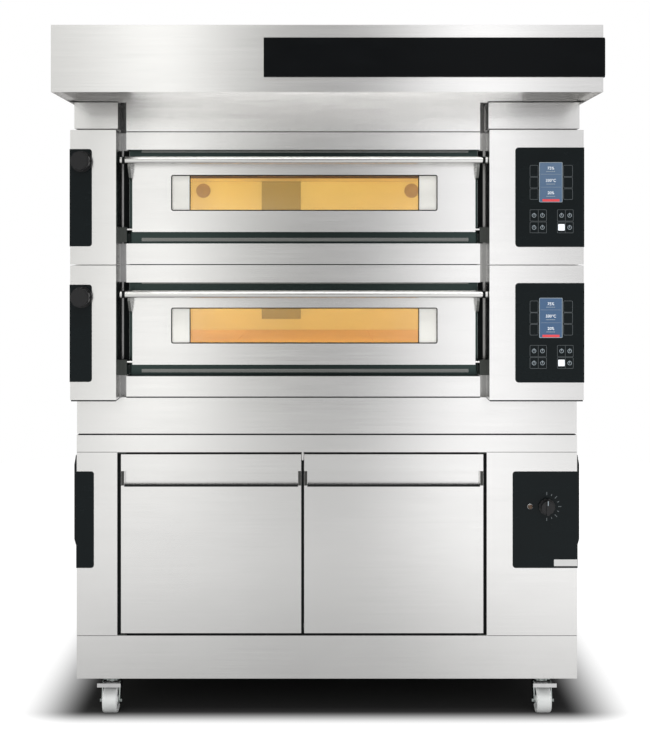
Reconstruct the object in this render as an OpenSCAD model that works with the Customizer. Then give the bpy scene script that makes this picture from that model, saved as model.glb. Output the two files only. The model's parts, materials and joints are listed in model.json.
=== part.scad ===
// Two-deck static pizza oven under an extraction hood, on a heated two-door prover with castors.
// Origin: on the floor, under the middle of the whole object. The front faces -Y and +Z is up.

/* [Main sizes] */
// Width of the decks and of the hood
deck_w = 1595; // [1500:5:1800]
// Height of one baking deck
deck_h = 421; // [415:1:440]
// Half of the hood's depth, front to back
half_depth = 700; // [690:1:740]
// Height of the castors, floor to plate
castor_h = 115; // [115:1:120]
// Sheet thickness of the outer panels
sheet = 2; // [1.5:0.5:2]

/* [Prover] */
// Width of the prover
prover_w = 1587; // [1500:1:1790]
// Height of the bottom band
base_h = 136; // [120:1:160]
// Height of the prover doors
prover_door_h = 567; // [540:1:600]
// Height of the rail over the doors
rail_h = 54; // [40:1:70]
// Height of the plinth band under the decks
plinth_h = 115; // [90:1:130]

/* [Baking deck] */
// How far the side housings stand in front of the middle panels
housing_d = 80; // [60:1:90]
// Height of the chamber's mouth
mouth_h = 160; // [140:1:170]
// Depth of the chamber
chamber_d = 870; // [800:10:880]
// Height of the oven door
door_h = 235; // [230:1:240]
// Thickness of the oven door
door_t = 42; // [38:1:44]

/* [Hood] */
// Height of the chimney box between the upper deck and the hood
chimney_h = 83; // [60:1:120]
// Height of the hood's front
hood_h = 194; // [180:1:240]

/* [Castors] */
// Radius of a castor wheel
wheel_r = 40; // [36:1:41]
// Width of a castor wheel
wheel_w = 48; // [36:1:50]
// Distance from the swivel's axis forward to the wheel's axle
trail = 35; // [30:1:38]

/* [Hidden] */
$fn = 48;

eps = 0.5;             // how far a cutting shape runs past the face it cuts
run = 0.05;            // running clearance of a pin in its bore, on the radius

// Front-to-back planes
strip_t = 3;                         // thickness of the black strip on the hood
hood_front = -half_depth + strip_t;
front = -353;                        // middle panels and prover doors
housing_front = front - housing_d;   // side housings of the decks
chimney_front = front - 35;          // side boxes of the chimney box
rear = 680;                          // rear of the decks and of the prover

// Heights
base_top = castor_h + base_h;
door0 = base_top + 8;                // bottom of the prover doors
door1 = door0 + prover_door_h;
rail0 = door1 + 7;
rail1 = rail0 + rail_h;
plinth_gap = 5;                      // shadow gap under the plinth band
plinth1 = rail1 + plinth_gap + plinth_h;
decks = [plinth1, plinth1 + deck_h];
decks_top = plinth1 + 2 * deck_h;
hood0 = decks_top + chimney_h;
hood1 = hood0 + hood_h;

// Side-to-side places
half_w = deck_w / 2;
half_p = prover_w / 2;
half_c = half_w - 3.5;               // half width of the chimney box
gap_l = -655;                        // left end of the recess between the housings
gap_r = 505;                         // right end of that recess
col_l = -665;                        // inner face of the prover's left column
col_r = 507;                         // inner face of its right column
mid_l = -636;                        // left end of the middle panels
mid_r = 486;                         // right end of the middle panels
proud = 1.5;                         // how far the black panels stand off the steel

// Heights inside one deck, from its bottom
seam = 1.5;                          // each front panel's share of the shadow line between two units
slot0 = 66.8;
slot1 = 364.5;
floor_z = 150;                       // top of the stones
stone_t = 20;
door_z0 = 103.5;

// ---------- shapes ----------

module slab(x, y, z) {
  translate([x[0], y[0], z[0]]) cube([x[1] - x[0], y[1] - y[0], z[1] - z[0]]);
}

module rod_x(r, x, y, z) {
  translate([x[0], y, z]) rotate([0, 90, 0]) cylinder(r = r, h = x[1] - x[0]);
}

module rod_y(r, x, y, z) {
  translate([x, y[0], z]) rotate([-90, 0, 0]) cylinder(r = r, h = y[1] - y[0]);
}

module rod_z(r, x, y, z) {
  translate([x, y, z[0]]) cylinder(r = r, h = z[1] - z[0]);
}

// A box with walls of the given thickness, grown back in on the sides that are closed.
module shell(x, y, z, t, open = "") {
  inner_x = [x[0] + t, x[1] - t];
  inner_y = [open == "front" ? y[0] - eps : y[0] + t, open == "rear" ? y[1] + eps : y[1] - t];
  inner_z = [open == "bottom" ? z[0] - eps : z[0] + t, open == "top" ? z[1] + eps : z[1] - t];
  difference() {
    slab(x, y, z);
    slab(inner_x, inner_y, inner_z);
  }
}

// A plate in the XZ plane whose corners on one side are round: side is -1 for left, 1 for right, 0 for all.
module round_plate(x, y, z, r, side = 0) {
  xr = [side == 1 ? x[0] : x[0] + r, side == -1 ? x[1] : x[1] - r];
  union() {
    slab(xr, y, z);
    slab(x, y, [z[0] + r, z[1] - r]);
    for (zz = [z[0] + r, z[1] - r]) {
      if (side != 1) rod_y(r, x[0] + r, y, zz);
      if (side != -1) rod_y(r, x[1] - r, y, zz);
    }
  }
}

// A row of n level slots cut through a wall, stacked upwards from z.
module slots(n, x, y, z, pitch, high) {
  for (i = [0 : n - 1]) slab(x, y, [z + i * pitch, z + i * pitch + high]);
}

// ---------- stand and prover ----------

castor_x = 688;
castor_y = [front + 60, 600];
king_r = 6;

module stand_base() {
  color("silver") difference() {
    shell([-half_p, half_p], [front, rear], [castor_h, base_top], sheet);
    slab([-half_p + 60, half_p - 60], [front + 80, rear - 60], [base_top - 5, base_top + eps]);
  }
}

// A folded column, open at the top and bottom where the base and the rail close it.
module column(x, bore_x = 0) {
  z = [base_top, rail0];
  difference() {
    slab(x, [front, rear], z);
    slab([x[0] + sheet, x[1] - sheet], [front + sheet, rear - sheet], [z[0] - eps, z[1] + eps]);
    if (bore_x != 0) rod_y(3 + run, bore_x, [front - eps, front + sheet + eps], thermostat_z);
  }
}

module stand_left_column() { color("silver") column([-half_p, col_l]); }
module stand_right_column() { color("silver") column([col_r, half_p], thermostat_x); }

module stand_top_rail() {
  color("silver") shell([-half_p, half_p], [front, rear], [rail0, rail1], sheet, "top");
}

module stand_plinth() {
  x = half_p - 1;
  z = rail1 + plinth_gap;
  in = 10;
  color("silver") difference() {
    union() {
      slab([-x, x], [front, rear], [z, plinth1]);
      slab([-x + in, x - in], [front + in, rear - in], [rail1, z]);
    }
    slab([-x + sheet, x - sheet], [front + sheet, rear - sheet], [z + sheet, plinth1 - sheet]);
    slab([-x + in + sheet, x - in - sheet], [front + in + sheet, rear - in - sheet],
      [rail1 - eps, z + 2 * sheet]);
  }
}

module stand_back_panel() {
  color("silver") difference() {
    slab([-half_p, half_p], [rear, rear + sheet], [castor_h + 5, rail1 + 4]);
    for (x = [-560, -200, 160, 520]) slots(9, [x - 60, x + 60], [rear - eps, rear + sheet + eps], 560, 16, 5);
  }
}

liner_front = front + 31;
liner_x = [col_l, col_r];
liner_z = [base_top, rail0];
cavity_x = [-630, 475];
cavity_z = [base_top + 30, door1 - 22];
cavity_rear = 620;

module prover_liner() {
  color("gainsboro") {
    difference() {
      slab(liner_x, [liner_front, liner_front + sheet], liner_z);
      slab(cavity_x, [liner_front - eps, liner_front + sheet + eps], cavity_z);
    }
    shell([cavity_x[0] - sheet, cavity_x[1] + sheet], [liner_front + sheet, cavity_rear + sheet],
      [cavity_z[0] - sheet, cavity_z[1] + sheet], sheet, "front");
  }
}

ledge_y = [-290, 460];
ledge_pitch = 66;

// One rack of tray ledges: two posts, with ledges that reach from x[0] to x[1].
module rack(x, post_x) {
  for (y = [ledge_y[0] + 40, ledge_y[1] - 60])
    slab([post_x - 8, post_x + 8], [y, y + 20], cavity_z);
  for (i = [1 : 7])
    slab(x, ledge_y, [cavity_z[0] + i * ledge_pitch, cavity_z[0] + i * ledge_pitch + 2]);
}

module prover_runners() {
  color("lightgray") {
    rack([cavity_x[0], cavity_x[0] + 30], cavity_x[0] + 8);
    rack([-105, -50], -77.5);
    rack([cavity_x[1] - 30, cavity_x[1]], cavity_x[1] - 8);
  }
}

module prover_heater() {
  color("darkgray") difference() {
    shell([-300, 145], [490, 610], [cavity_z[0], cavity_z[0] + 62], sheet, "rear");
    for (x = [-270 : 30 : 110])
      slab([x, x + 14], [505, 595], [cavity_z[0] + 58, cavity_z[0] + 64]);
  }
}

thermostat_x = 697;
thermostat_z = castor_h + 546;
panel_z = [castor_h + 351, castor_h + 657];

module prover_control_panel() {
  color("#14181a") difference() {
    union() {
      round_plate([589, half_p + proud], [front - proud, front], panel_z, 10, -1);
      slab([half_p, half_p + proud], [front, front + 40], panel_z);
      rod_y(7.5, 644, [front - 5, front - proud], thermostat_z);
    }
    rod_y(3 + run, thermostat_x, [front - 6, front + eps], thermostat_z);
  }
  color("dimgray") difference() {
    slab([thermostat_x - 24, thermostat_x + 24], [front + sheet, front + sheet + 40],
      [thermostat_z - 24, thermostat_z + 24]);
    rod_y(3 + run, thermostat_x, [front + sheet - eps, front + sheet + 34], thermostat_z);
  }
}

module thermostat_knob() {
  back = front - proud - 0.6;
  color("#1c1c1c") difference() {
    union() {
      rod_y(26, thermostat_x, [back - 8, back], thermostat_z);
      rod_y(20, thermostat_x, [back - 22, back - 8], thermostat_z);
      slab([thermostat_x - 4, thermostat_x + 4], [back - 26, back - 8],
        [thermostat_z - 24, thermostat_z + 24]);
      rod_y(3, thermostat_x, [back, front + sheet + 30], thermostat_z);
    }
    for (a = [0 : 30 : 330])
      rod_y(3, thermostat_x + 27 * sin(a), [back - 9, back + eps], thermostat_z + 27 * cos(a));
  }
}

cowl_out = 857;
cowl_y = [-84, 420];

// A louvred side cover with a chamfered top front corner. side is -1 for left and 1 for right.
module cowl(side) {
  c = 26;
  outline = [[cowl_y[0], panel_z[0] + c], [cowl_y[0] + c, panel_z[0]], [cowl_y[1], panel_z[0]],
    [cowl_y[1], panel_z[1]], [cowl_y[0] + c, panel_z[1]], [cowl_y[0], panel_z[1] - c]];
  t = 3;
  inner = [[cowl_y[0] + t, panel_z[0] + c + 1], [cowl_y[0] + c + 1, panel_z[0] + t],
    [cowl_y[1] - t, panel_z[0] + t], [cowl_y[1] - t, panel_z[1] - t],
    [cowl_y[0] + c + 1, panel_z[1] - t], [cowl_y[0] + t, panel_z[1] - c - 1]];
  depth = cowl_out - half_p;
  mirror([side < 0 ? 1 : 0, 0, 0]) difference() {
    translate([half_p, 0, 0]) rotate([90, 0, 90]) linear_extrude(depth) polygon(outline);
    translate([half_p - eps, 0, 0]) rotate([90, 0, 90]) linear_extrude(depth - t + eps) polygon(inner);
    slots(11, [cowl_out - t - eps, cowl_out + eps], [cowl_y[0] + 60, cowl_y[1] - 40], panel_z[0] + 60, 18, 6);
  }
}

module prover_cowls() {
  color("#202224") {
    cowl(-1);
    cowl(1);
  }
}

left_door_x = [-653, -81.5];
right_door_x = [-72, 496];
hinge_in = 8;                         // prover hinge axis from the door's outer edge and front face
prover_door_t = 28;
pull_z = [castor_h + 611, castor_h + 659];
pin_r = 4;

// A prover door skin: a pan open to the rear, with a full-width pull channel folded into its face.
module prover_skin(x, hinge_x) {
  z = [door0, door1];
  back = front + prover_door_t - 2;
  deep = front + 20;
  scoop = [[front - eps, pull_z[0]], [deep, pull_z[0]], [deep, pull_z[1] + 6],
    [deep - 4, pull_z[1] + 6], [front + 3, pull_z[1]], [front - eps, pull_z[1]]];
  rim = [[front + sheet, pull_z[0] - 2], [deep + 2, pull_z[0] - 2], [deep + 2, pull_z[1] + 8],
    [deep - 6, pull_z[1] + 8], [front + sheet, pull_z[1] + 2]];
  difference() {
    union() {
      shell(x, [front, back], z, sheet, "rear");
      translate([x[0] + 1, 0, 0]) rotate([90, 0, 90]) linear_extrude(x[1] - x[0] - 2) polygon(rim);
      for (zz = [[z[0], z[0] + 22], [z[1] - 22, z[1]]]) rod_z(7, hinge_x, front + hinge_in, zz);
    }
    translate([x[0] + 10, 0, 0]) rotate([90, 0, 90]) linear_extrude(x[1] - x[0] - 20) polygon(scoop);
    for (zz = [[z[0] - eps, z[0] + 20], [z[1] - 20, z[1] + eps]])
      rod_z(pin_r + run, hinge_x, front + hinge_in, zz);
  }
}

module prover_inner(x) {
  back = front + prover_door_t;
  difference() {
    slab(x, [back - 2, back], [door0, door1]);
    slab([x[0] + 60, x[1] - 60], [back - 0.8, back + eps], [door0 + 60, door1 - 60]);
  }
}

module prover_left_door() { color("silver") prover_skin(left_door_x, left_door_x[0] + hinge_in); }
module prover_left_door_liner() { color("gainsboro") prover_inner(left_door_x); }
module prover_right_door() { color("silver") prover_skin(right_door_x, right_door_x[1] - hinge_in); }
module prover_right_door_liner() { color("gainsboro") prover_inner(right_door_x); }

// ---------- baking decks ----------

module deck_casing(z0, riser_holes_bottom, riser_holes_top) {
  t = sheet;
  color("silver") difference() {
    slab([-half_w, half_w], [front, rear], [z0, z0 + deck_h]);
    slab([-half_w + t, half_w - t], [front - eps, rear - t], [z0 + t, z0 + deck_h - t]);
    slab([gap_l - 2, gap_r + 2], [front - eps, mouth_y + 2], [z0 - eps, z0 + deck_h + eps]);
    for (y = riser_holes_bottom) rod_z(riser_r + 1, knob_x, y, [z0 - eps, z0 + t + eps]);
    for (y = riser_holes_top) rod_z(riser_r + 1, knob_x, y, [z0 + deck_h - t - eps, z0 + deck_h + eps]);
    for (x = [-420, 420]) slots(8, [x - 110, x + 110], [rear - t - eps, rear + eps], z0 + 120, 20, 6);
    rod_y(12, 700, [rear - t - eps, rear + eps], z0 + 60);
  }
}

knob_x = -761;
knob_z = 321;
riser_r = 26;
riser_y = [640, 575];                 // the flue riser of the lower deck and of the upper deck
mouth_y = front + 50;                 // front face of the plate around the chamber's mouth
mouth_x = [-602, 458];

module lower_casing() { deck_casing(decks[0], [], [riser_y[0]]); }
module upper_casing() { deck_casing(decks[1], [riser_y[0]], riser_y); }

// Middle panels over and under the door, with the set-back plate around the chamber's mouth.
module deck_front_frame(z0) {
  t = sheet;
  low = [z0 + seam, z0 + slot0];
  high = [z0 + slot1, z0 + deck_h - seam];
  union() {
    for (z = [low, high]) {
      slab([mid_l, mid_r], [front, front + t], z);
      for (x = [mid_l, mid_r - t]) slab([x, x + t], [front, mouth_y + eps], z);
    }
    slab([mid_l, mid_r], [front, mouth_y + eps], [low[1] - t, low[1]]);
    slab([mid_l, mid_r], [front, mouth_y + eps], [high[0], high[0] + t]);
    for (x = [gap_l - 2, gap_r]) slab([x, x + 2], [front, mouth_y + t], [z0, z0 + deck_h]);
    difference() {
      slab([gap_l, gap_r], [mouth_y, mouth_y + t], [z0, z0 + deck_h]);
      slab(mouth_x, [mouth_y - eps, mouth_y + t + eps], [z0 + floor_z, z0 + floor_z + mouth_h]);
    }
  }
}

module front_frames() {
  color("silver") for (z0 = decks) deck_front_frame(z0);
}

module left_housings() {
  color("silver") for (z0 = decks) difference() {
    shell([-half_w, gap_l], [housing_front, front], [z0 + seam, z0 + deck_h - seam], sheet, "rear");
    rod_y(6, knob_x, [housing_front - eps, housing_front + sheet + eps], z0 + knob_z);
  }
}

module control_housings() {
  color("silver") for (z0 = decks)
    shell([gap_r, half_w], [housing_front, front], [z0 + seam, z0 + deck_h - seam], sheet, "rear");
}

inlay_x = -730;
inlay_z = [58, 360];

module black_inlays() {
  color("#14181a") {
    for (z0 = decks) difference() {
      union() {
        z = [z0 + inlay_z[0], z0 + inlay_z[1]];
        round_plate([-half_w - proud, inlay_x], [housing_front - proud, housing_front], z, 9, 1);
        slab([-half_w - proud, -half_w], [housing_front, housing_front + 40], z);
      }
      rod_y(6, knob_x, [housing_front - proud - eps, housing_front + eps], z0 + knob_z);
    }
    round_plate([-half_p - proud, -739], [front - proud, front], panel_z, 9, 1);
    slab([-half_p - proud, -half_p], [front, front + 40], panel_z);
  }
}

glass_x = 585;
glass_z = [56, 365];

module control_glass() {
  color("#101416") for (z0 = decks) {
    z = [z0 + glass_z[0], z0 + glass_z[1]];
    round_plate([glass_x, half_w + proud], [housing_front - proud, housing_front], z, 11, -1);
    slab([half_w, half_w + proud], [housing_front, housing_front + 40], z);
  }
}

module display_screens() {
  color("#5f7f9c") for (z0 = decks)
    round_plate([659, 731], [housing_front - proud - 0.6, housing_front - proud], [z0 + 195, z0 + 319], 3);
}

chamber_x = [-695, 545];
ceiling_z = floor_z + mouth_h;
vent_x = [-253, -101];
lamp_x = [-484, 334];
lamp_z = 275;
branch_z = [205, 232];

module chamber(z0) {
  t = sheet;
  y = [mouth_y + t, mouth_y + t + chamber_d];
  x = [chamber_x[0] - t, chamber_x[1] + t];
  color("burlywood") difference() {
    union() {
      shell(x, [y[0], y[1] + t], [z0 + floor_z - stone_t - t, z0 + ceiling_z + t], t, "front");
      shell(vent_x, [y[1] - 30, y[1] + t], [z0 + 194, z0 + ceiling_z + t], t, "bottom");
    }
    slab([-190, -163], [y[1] - 10, y[1] + t + eps], [z0 + branch_z[0] + 3, z0 + branch_z[1] - 3]);
    for (lx = lamp_x) rod_y(24, lx, [y[1] - eps, y[1] + t + eps], z0 + lamp_z);
    for (ey = element_y, s = [0, 1])
      rod_x(5, [x[1] - t - eps, x[1] + eps], ey + s * element_bend, z0 + element_z);
  }
}

module lower_chamber() { chamber(decks[0]); }
module upper_chamber() { chamber(decks[1]); }

module deck_stones() {
  y = [mouth_y + 4, mouth_y + chamber_d - 2];
  seams = [chamber_x[0] + 2, -311, 161, chamber_x[1] - 2];
  color("#d8c9a8") for (z0 = decks, i = [0 : 2])
    slab([seams[i] + 1, seams[i + 1] - 1], y, [z0 + floor_z - stone_t, z0 + floor_z]);
}

element_y = [-230, -90, 50];
element_z = 303;
element_bend = 70;

// Hairpin heaters under the ceiling: two rods and a half-ring, leaving through the right wall.
module heating_elements() {
  r = 4;
  turn_x = -600;
  color("dimgray") for (z0 = decks, ey = element_y) union() {
    for (s = [0, 1]) rod_x(r, [turn_x, chamber_x[1] + 40], ey + s * element_bend, z0 + element_z);
    translate([turn_x, ey + element_bend / 2, z0 + element_z]) rotate([0, 0, 90])
      rotate_extrude(angle = 180) translate([element_bend / 2, 0]) circle(r = r);
  }
}

module chamber_lamps() {
  y = mouth_y + sheet + chamber_d;
  color("lightyellow") for (z0 = decks, x = lamp_x) union() {
    rod_y(28, x, [y - 5, y], z0 + lamp_z);
    rod_y(23.5, x, [y, y + 30], z0 + lamp_z);
  }
}

// ---------- oven door ----------

door_x = [-617, 471];
door_in = 8;                          // hinge axis from the door's bottom edge and front face
window_x = [-493, 350];
window_z = [171.5, 283.5];
door_back = front + door_t;

module window_cut(y, grow = 0) {
  round_plate([window_x[0] - grow, window_x[1] + grow], y, [window_z[0] - grow, window_z[1] + grow],
    6 + grow);
}

module door_skin(z0) {
  axis = [front + door_in, door_z0 + door_in];
  color("silver") translate([0, 0, z0]) difference() {
    union() {
      shell(door_x, [front, door_back], [door_z0, door_z0 + door_h], sheet, "rear");
      for (x = [[gap_l + 4, door_x[0] + 20], [door_x[1] - 20, gap_r - 4]])
        rod_x(pin_r, x, axis[0], axis[1]);
    }
    window_cut([front - eps, front + sheet + eps]);
  }
}

module door_liner(z0) {
  color("gainsboro") translate([0, 0, z0]) {
    difference() {
      union() {
        slab([door_x[0] + 1, door_x[1] - 1], [door_back, door_back + 3], [door_z0 + 1, door_z0 + door_h - 1]);
        window_cut([front + sheet, door_back + 1], 3);
      }
      window_cut([front - eps, door_back + 3 + eps]);
    }
    for (x = [[window_x[0], -437], [293, window_x[1]]])
      slab(x, [front + 9, front + 11], window_z);
  }
}

module door_glass(z0) {
  color("#f5dfa0", 0.4) translate([0, 0, z0])
    for (y = [[front + 3, front + 7], [door_back - 8, door_back - 4]])
      window_cut(y, -0.2);
}

handle_y = front - 45;
handle_z = 328;
handle_r = 11;

tube_x = [-632, 484];
neck = 9.5;                           // length of the neck between the tube and its end cap
cap_x = [-647.5, 503];                // outer faces of the end caps

// A round tube with a narrower neck and a cap on each end. A screw hole runs through both ends.
module door_handle(z0) {
  color("silver") translate([0, 0, z0]) difference() {
    union() {
      rod_x(handle_r, tube_x, handle_y, handle_z);
      rod_x(handle_r - 1.5, cap_x, handle_y, handle_z);
      rod_x(handle_r, [cap_x[0], tube_x[0] - neck], handle_y, handle_z);
      rod_x(handle_r, [tube_x[1] + neck, cap_x[1]], handle_y, handle_z);
    }
    rod_x(handle_r - 2, [tube_x[0] + 4, tube_x[1] - 4], handle_y, handle_z);
    rod_x(3, [cap_x[0] - eps, cap_x[1] + eps], handle_y, handle_z);
  }
}

// The two arms that carry the handle in round seats, one on each side edge of the door.
module handle_arms(z0) {
  nose = handle_y + 2;
  arm_t = 8;
  outline = [[front + 20, handle_z - 62], [front - 16, handle_z - 54], [nose, handle_z - 20],
    [nose, handle_z + 4], [front, handle_z + 8], [front + 20, handle_z + 4]];
  color("gainsboro") for (x = [door_x[0] - arm_t, door_x[1]])
    translate([x, 0, z0]) difference() {
      rotate([90, 0, 90]) linear_extrude(arm_t) polygon(outline);
      rod_x(handle_r, [-eps, arm_t + eps], handle_y, handle_z);
    }
}

module lower_door_skin() { door_skin(decks[0]); }
module upper_door_skin() { door_skin(decks[1]); }
module lower_door_liner() { door_liner(decks[0]); }
module upper_door_liner() { door_liner(decks[1]); }
module lower_door_glass() { door_glass(decks[0]); }
module upper_door_glass() { door_glass(decks[1]); }
module lower_door_handle() { door_handle(decks[0]); }
module upper_door_handle() { door_handle(decks[1]); }
module lower_handle_arms() { handle_arms(decks[0]); }
module upper_handle_arms() { handle_arms(decks[1]); }

// Bearing blocks of the oven doors, then the pin brackets of the prover doors.
module hinge_brackets() {
  axis_y = front + door_in;
  color("gainsboro") {
    for (z0 = decks, x = [[gap_l, gap_l + 20], [gap_r - 20, gap_r]]) difference() {
      union() {
        slab(x, [axis_y - 7, mouth_y], [z0 + 70, z0 + 98]);
        slab(x, [axis_y - 7, axis_y + 7], [z0 + 98, z0 + door_z0 + door_in + 7]);
      }
      rod_x(pin_r + run, [x[0] - eps, x[1] + eps], axis_y, z0 + door_z0 + door_in);
    }
    for (side = [-1, 1]) {
      hx = side < 0 ? left_door_x[0] + hinge_in : right_door_x[1] - hinge_in;
      x = side < 0 ? [col_l, hx + 8] : [hx - 8, col_r];
      y = [front + 3, liner_front];
      slab(x, y, [base_top, base_top + 2.5]);
      rod_z(pin_r, hx, front + hinge_in, [base_top + 2.5, door0 + 16]);
      slab(x, y, [door1 + 2.5, door1 + 5.5]);
      rod_z(pin_r, hx, front + hinge_in, [door1 - 16, door1 + 2.5]);
    }
  }
}

// ---------- vents ----------

module vent_knob(z0) {
  back = housing_front - proud - 0.6;
  shaft_in = back - 20;
  color("#1c1c1c") translate([knob_x, 0, z0 + knob_z]) difference() {
    union() {
      rod_y(33, 0, [back - 7, back], 0);
      rod_y(29.5, 0, [back - 36, back - 7], 0);
      rod_y(26, 0, [back - 39, back - 36], 0);
    }
    for (a = [18 : 36 : 342]) rod_y(4, 31.5 * sin(a), [back - 40, back - 7], 31.5 * cos(a));
    rod_y(5, 0, [shaft_in, back + eps], 0);
  }
}

// The long shaft from the knob to the butterfly disc in the flue riser.
module vent_shaft(z0, ry) {
  back = housing_front - proud - 0.6;
  color("gray") translate([knob_x, 0, z0 + knob_z]) union() {
    rod_y(5, 0, [back - 20, ry + riser_r + 6], 0);
    rod_z(riser_r - 2.6, 0, ry, [-1.5, 1.5]);
  }
}

module lower_vent_knob() { vent_knob(decks[0]); }
module upper_vent_knob() { vent_knob(decks[1]); }
module lower_vent_shaft() { vent_shaft(decks[0], riser_y[0]); }
module upper_vent_shaft() { vent_shaft(decks[1], riser_y[1]); }

// One flue: a level branch from the chamber's rear wall to a riser that ends in the chimney box.
module flue(z0, ry) {
  t = 2;
  y0 = mouth_y + 2 * sheet + chamber_d;
  branch_x = [-193, -160];
  top = decks_top + 30;
  difference() {
    union() {
      slab([knob_x, branch_x[1]], [y0, y0 + 27], [z0 + branch_z[0], z0 + branch_z[1]]);
      slab([knob_x - 14, knob_x + 14], [min(y0, ry), max(y0 + 27, ry)], [z0 + branch_z[0], z0 + branch_z[1]]);
      rod_z(riser_r, knob_x, ry, [z0 + branch_z[0] - 10, top]);
    }
    slab([knob_x, branch_x[1] - t], [y0 + t, y0 + 27 - t], [z0 + branch_z[0] + t, z0 + branch_z[1] - t]);
    slab([branch_x[0] + 3, branch_x[1] - 3], [y0 - eps, y0 + t + eps],
      [z0 + branch_z[0] + 3, z0 + branch_z[1] - 3]);
    slab([knob_x - 12, knob_x + 12], [min(y0 + t, ry), max(y0 + 25, ry)],
      [z0 + branch_z[0] + t, z0 + branch_z[1] - t]);
    rod_z(riser_r - t, knob_x, ry, [z0 + branch_z[0] - 8, top + eps]);
    rod_y(5 + run, knob_x, [ry - riser_r - eps, ry + riser_r + eps], z0 + knob_z);
  }
}

module flue_ducts() {
  color("gray") for (i = [0, 1]) flue(decks[i], riser_y[i]);
}

// ---------- chimney box and hood ----------

collar_y = 350;
collar_r = 75;
collar_h = 50;

side_l = -657;                        // inner face of the left side box
side_r = 508;                         // inner face of the right side box
under = 10;                           // how far the hood's underside sits above its lower edge

// A main box that fills the width. Two side boxes and a middle panel stand in front of it as separate
// folded channels, open at the top and bottom.
module chimney_box() {
  t = sheet;
  joint = 0.1;
  gap_below = 7;
  gap_above = 4;
  top = hood0 + under;
  middle_z = [decks_top + seam, top];
  side_z = [decks_top + gap_below, top - gap_above];
  steps = [[[-half_c, side_l], chimney_front, side_z], [[side_r, half_c], chimney_front, side_z],
    [[mid_l, mid_r], front, middle_z]];
  color("silver") {
    difference() {
      slab([-half_c, half_c], [mouth_y, rear], [decks_top, top]);
      slab([-half_c + t, half_c - t], [mouth_y + t, rear - t], [decks_top - eps, top + eps]);
    }
    for (s = steps) difference() {
      slab(s[0], [s[1], mouth_y - joint], s[2]);
      slab([s[0][0] + t, s[0][1] - t], [s[1] + t, mouth_y], [s[2][0] - eps, s[2][1] + eps]);
    }
  }
}

filter_z = hood0 + 118;

// The canopy: closed top and sides, open below in front of the oven, with a slotted filter plate inside.
module hood_canopy() {
  t = sheet;
  x = [-half_w, half_w];
  y = [hood_front, half_depth];
  lip = 14;
  base = [hood0 + under, hood0 + under + t];
  through = [base[0] - eps, base[1] + eps];
  color("silver") difference() {
    union() {
      difference() {
        slab(x, y, [hood0, hood1]);
        slab([x[0] + t, x[1] - t], [y[0] + t, y[1] - t], [hood0 - eps, hood1 - t]);
      }
      difference() {
        slab([x[0] + 1, x[1] - 1], [y[0] + 1, y[1] - 1], base);
        slab([x[0] + lip, x[1] - lip], [y[0] + lip, chimney_front - 2], through);
        slab([side_l, side_r], [y[0] + lip, front], through);
        slab([-half_c + 10, half_c - 10], [front + 60, rear - 10], through);
      }
      slab([x[0] + 1, x[1] - 1], [y[0] + 1, front + 40], [filter_z, filter_z + t]);
      slab([x[0] + 1, x[1] - 1], [front, front + t], [base[0], filter_z + 1]);
    }
    for (i = [-7 : 7])
      slab([i * 95 - 30, i * 95 + 30], [y[0] + 60, front - 60], [filter_z - eps, filter_z + t + eps]);
    rod_z(collar_r + 4, 0, collar_y, [hood1 - t - eps, hood1 + eps]);
  }
}

strip_z = [43, 157];

module hood_strip() {
  end_r = 6;
  x = [-183, half_w + 5];
  z = [hood0 + strip_z[0], hood0 + strip_z[1]];
  color("#14181a") union() {
    round_plate(x, [hood_front - strip_t, hood_front], z, end_r, 1);
    slab([half_w, half_w + 5], [hood_front, hood_front + 60], z);
  }
}

module hood_collar() {
  color("silver") difference() {
    union() {
      rod_z(collar_r + 22, 0, collar_y, [hood1, hood1 + 2]);
      rod_z(collar_r + 2, 0, collar_y, [hood1, hood1 + collar_h]);
    }
    rod_z(collar_r, 0, collar_y, [hood1 - eps, hood1 + collar_h + eps]);
  }
}

// ---------- castors ----------

fork_top = 106;

module castor_plates() {
  color("silver") for (x = [-castor_x, castor_x], y = castor_y) union() {
    slab([x - 57, x + 57], [y - 45, y + 45], [castor_h - 4, castor_h]);
    rod_z(24, x, y, [fork_top + 0.4, castor_h - 4]);
    rod_z(king_r, x, y, [fork_top - 11, fork_top + 0.4]);
  }
}

leg_in = wheel_w / 2 + 2;
leg_t = 3;
axle_r = 6;
pedal_y = -22;                       // brake pivot, from the swivel's axis
pedal_z = 88;

// A swivel fork with its axle. The legs carry the brake's pivot where there is one.
module fork(x, y, braked) {
  side = [[22, fork_top - 9], [-32, fork_top - 9], [-trail - 13, wheel_r], [-trail, wheel_r - 13],
    [-trail + 13, wheel_r - 4], [10, 76], [22, 88]];
  color("silver") translate([x, y, 0]) difference() {
    union() {
      rod_z(32, 0, 0, [fork_top - 9, fork_top]);
      for (lx = [-leg_in - leg_t, leg_in]) {
        translate([lx, 0, 0]) rotate([90, 0, 90]) linear_extrude(leg_t) polygon(side);
        rod_x(13, [lx, lx + leg_t], -trail, wheel_r);
      }
      rod_x(axle_r, [-leg_in - leg_t, leg_in + leg_t], -trail, wheel_r);
      for (s = [-1, 1]) translate([s * (leg_in + leg_t + 3), -trail, wheel_r]) rotate([0, 90, 0])
        cylinder(r = 9, h = 6, center = true, $fn = 6);
    }
    rod_z(king_r + run, 0, 0, [fork_top - 12, fork_top + eps]);
    if (braked) rod_x(pin_r + run, [-leg_in - 5, leg_in + 5], pedal_y, pedal_z);
  }
}

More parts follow.
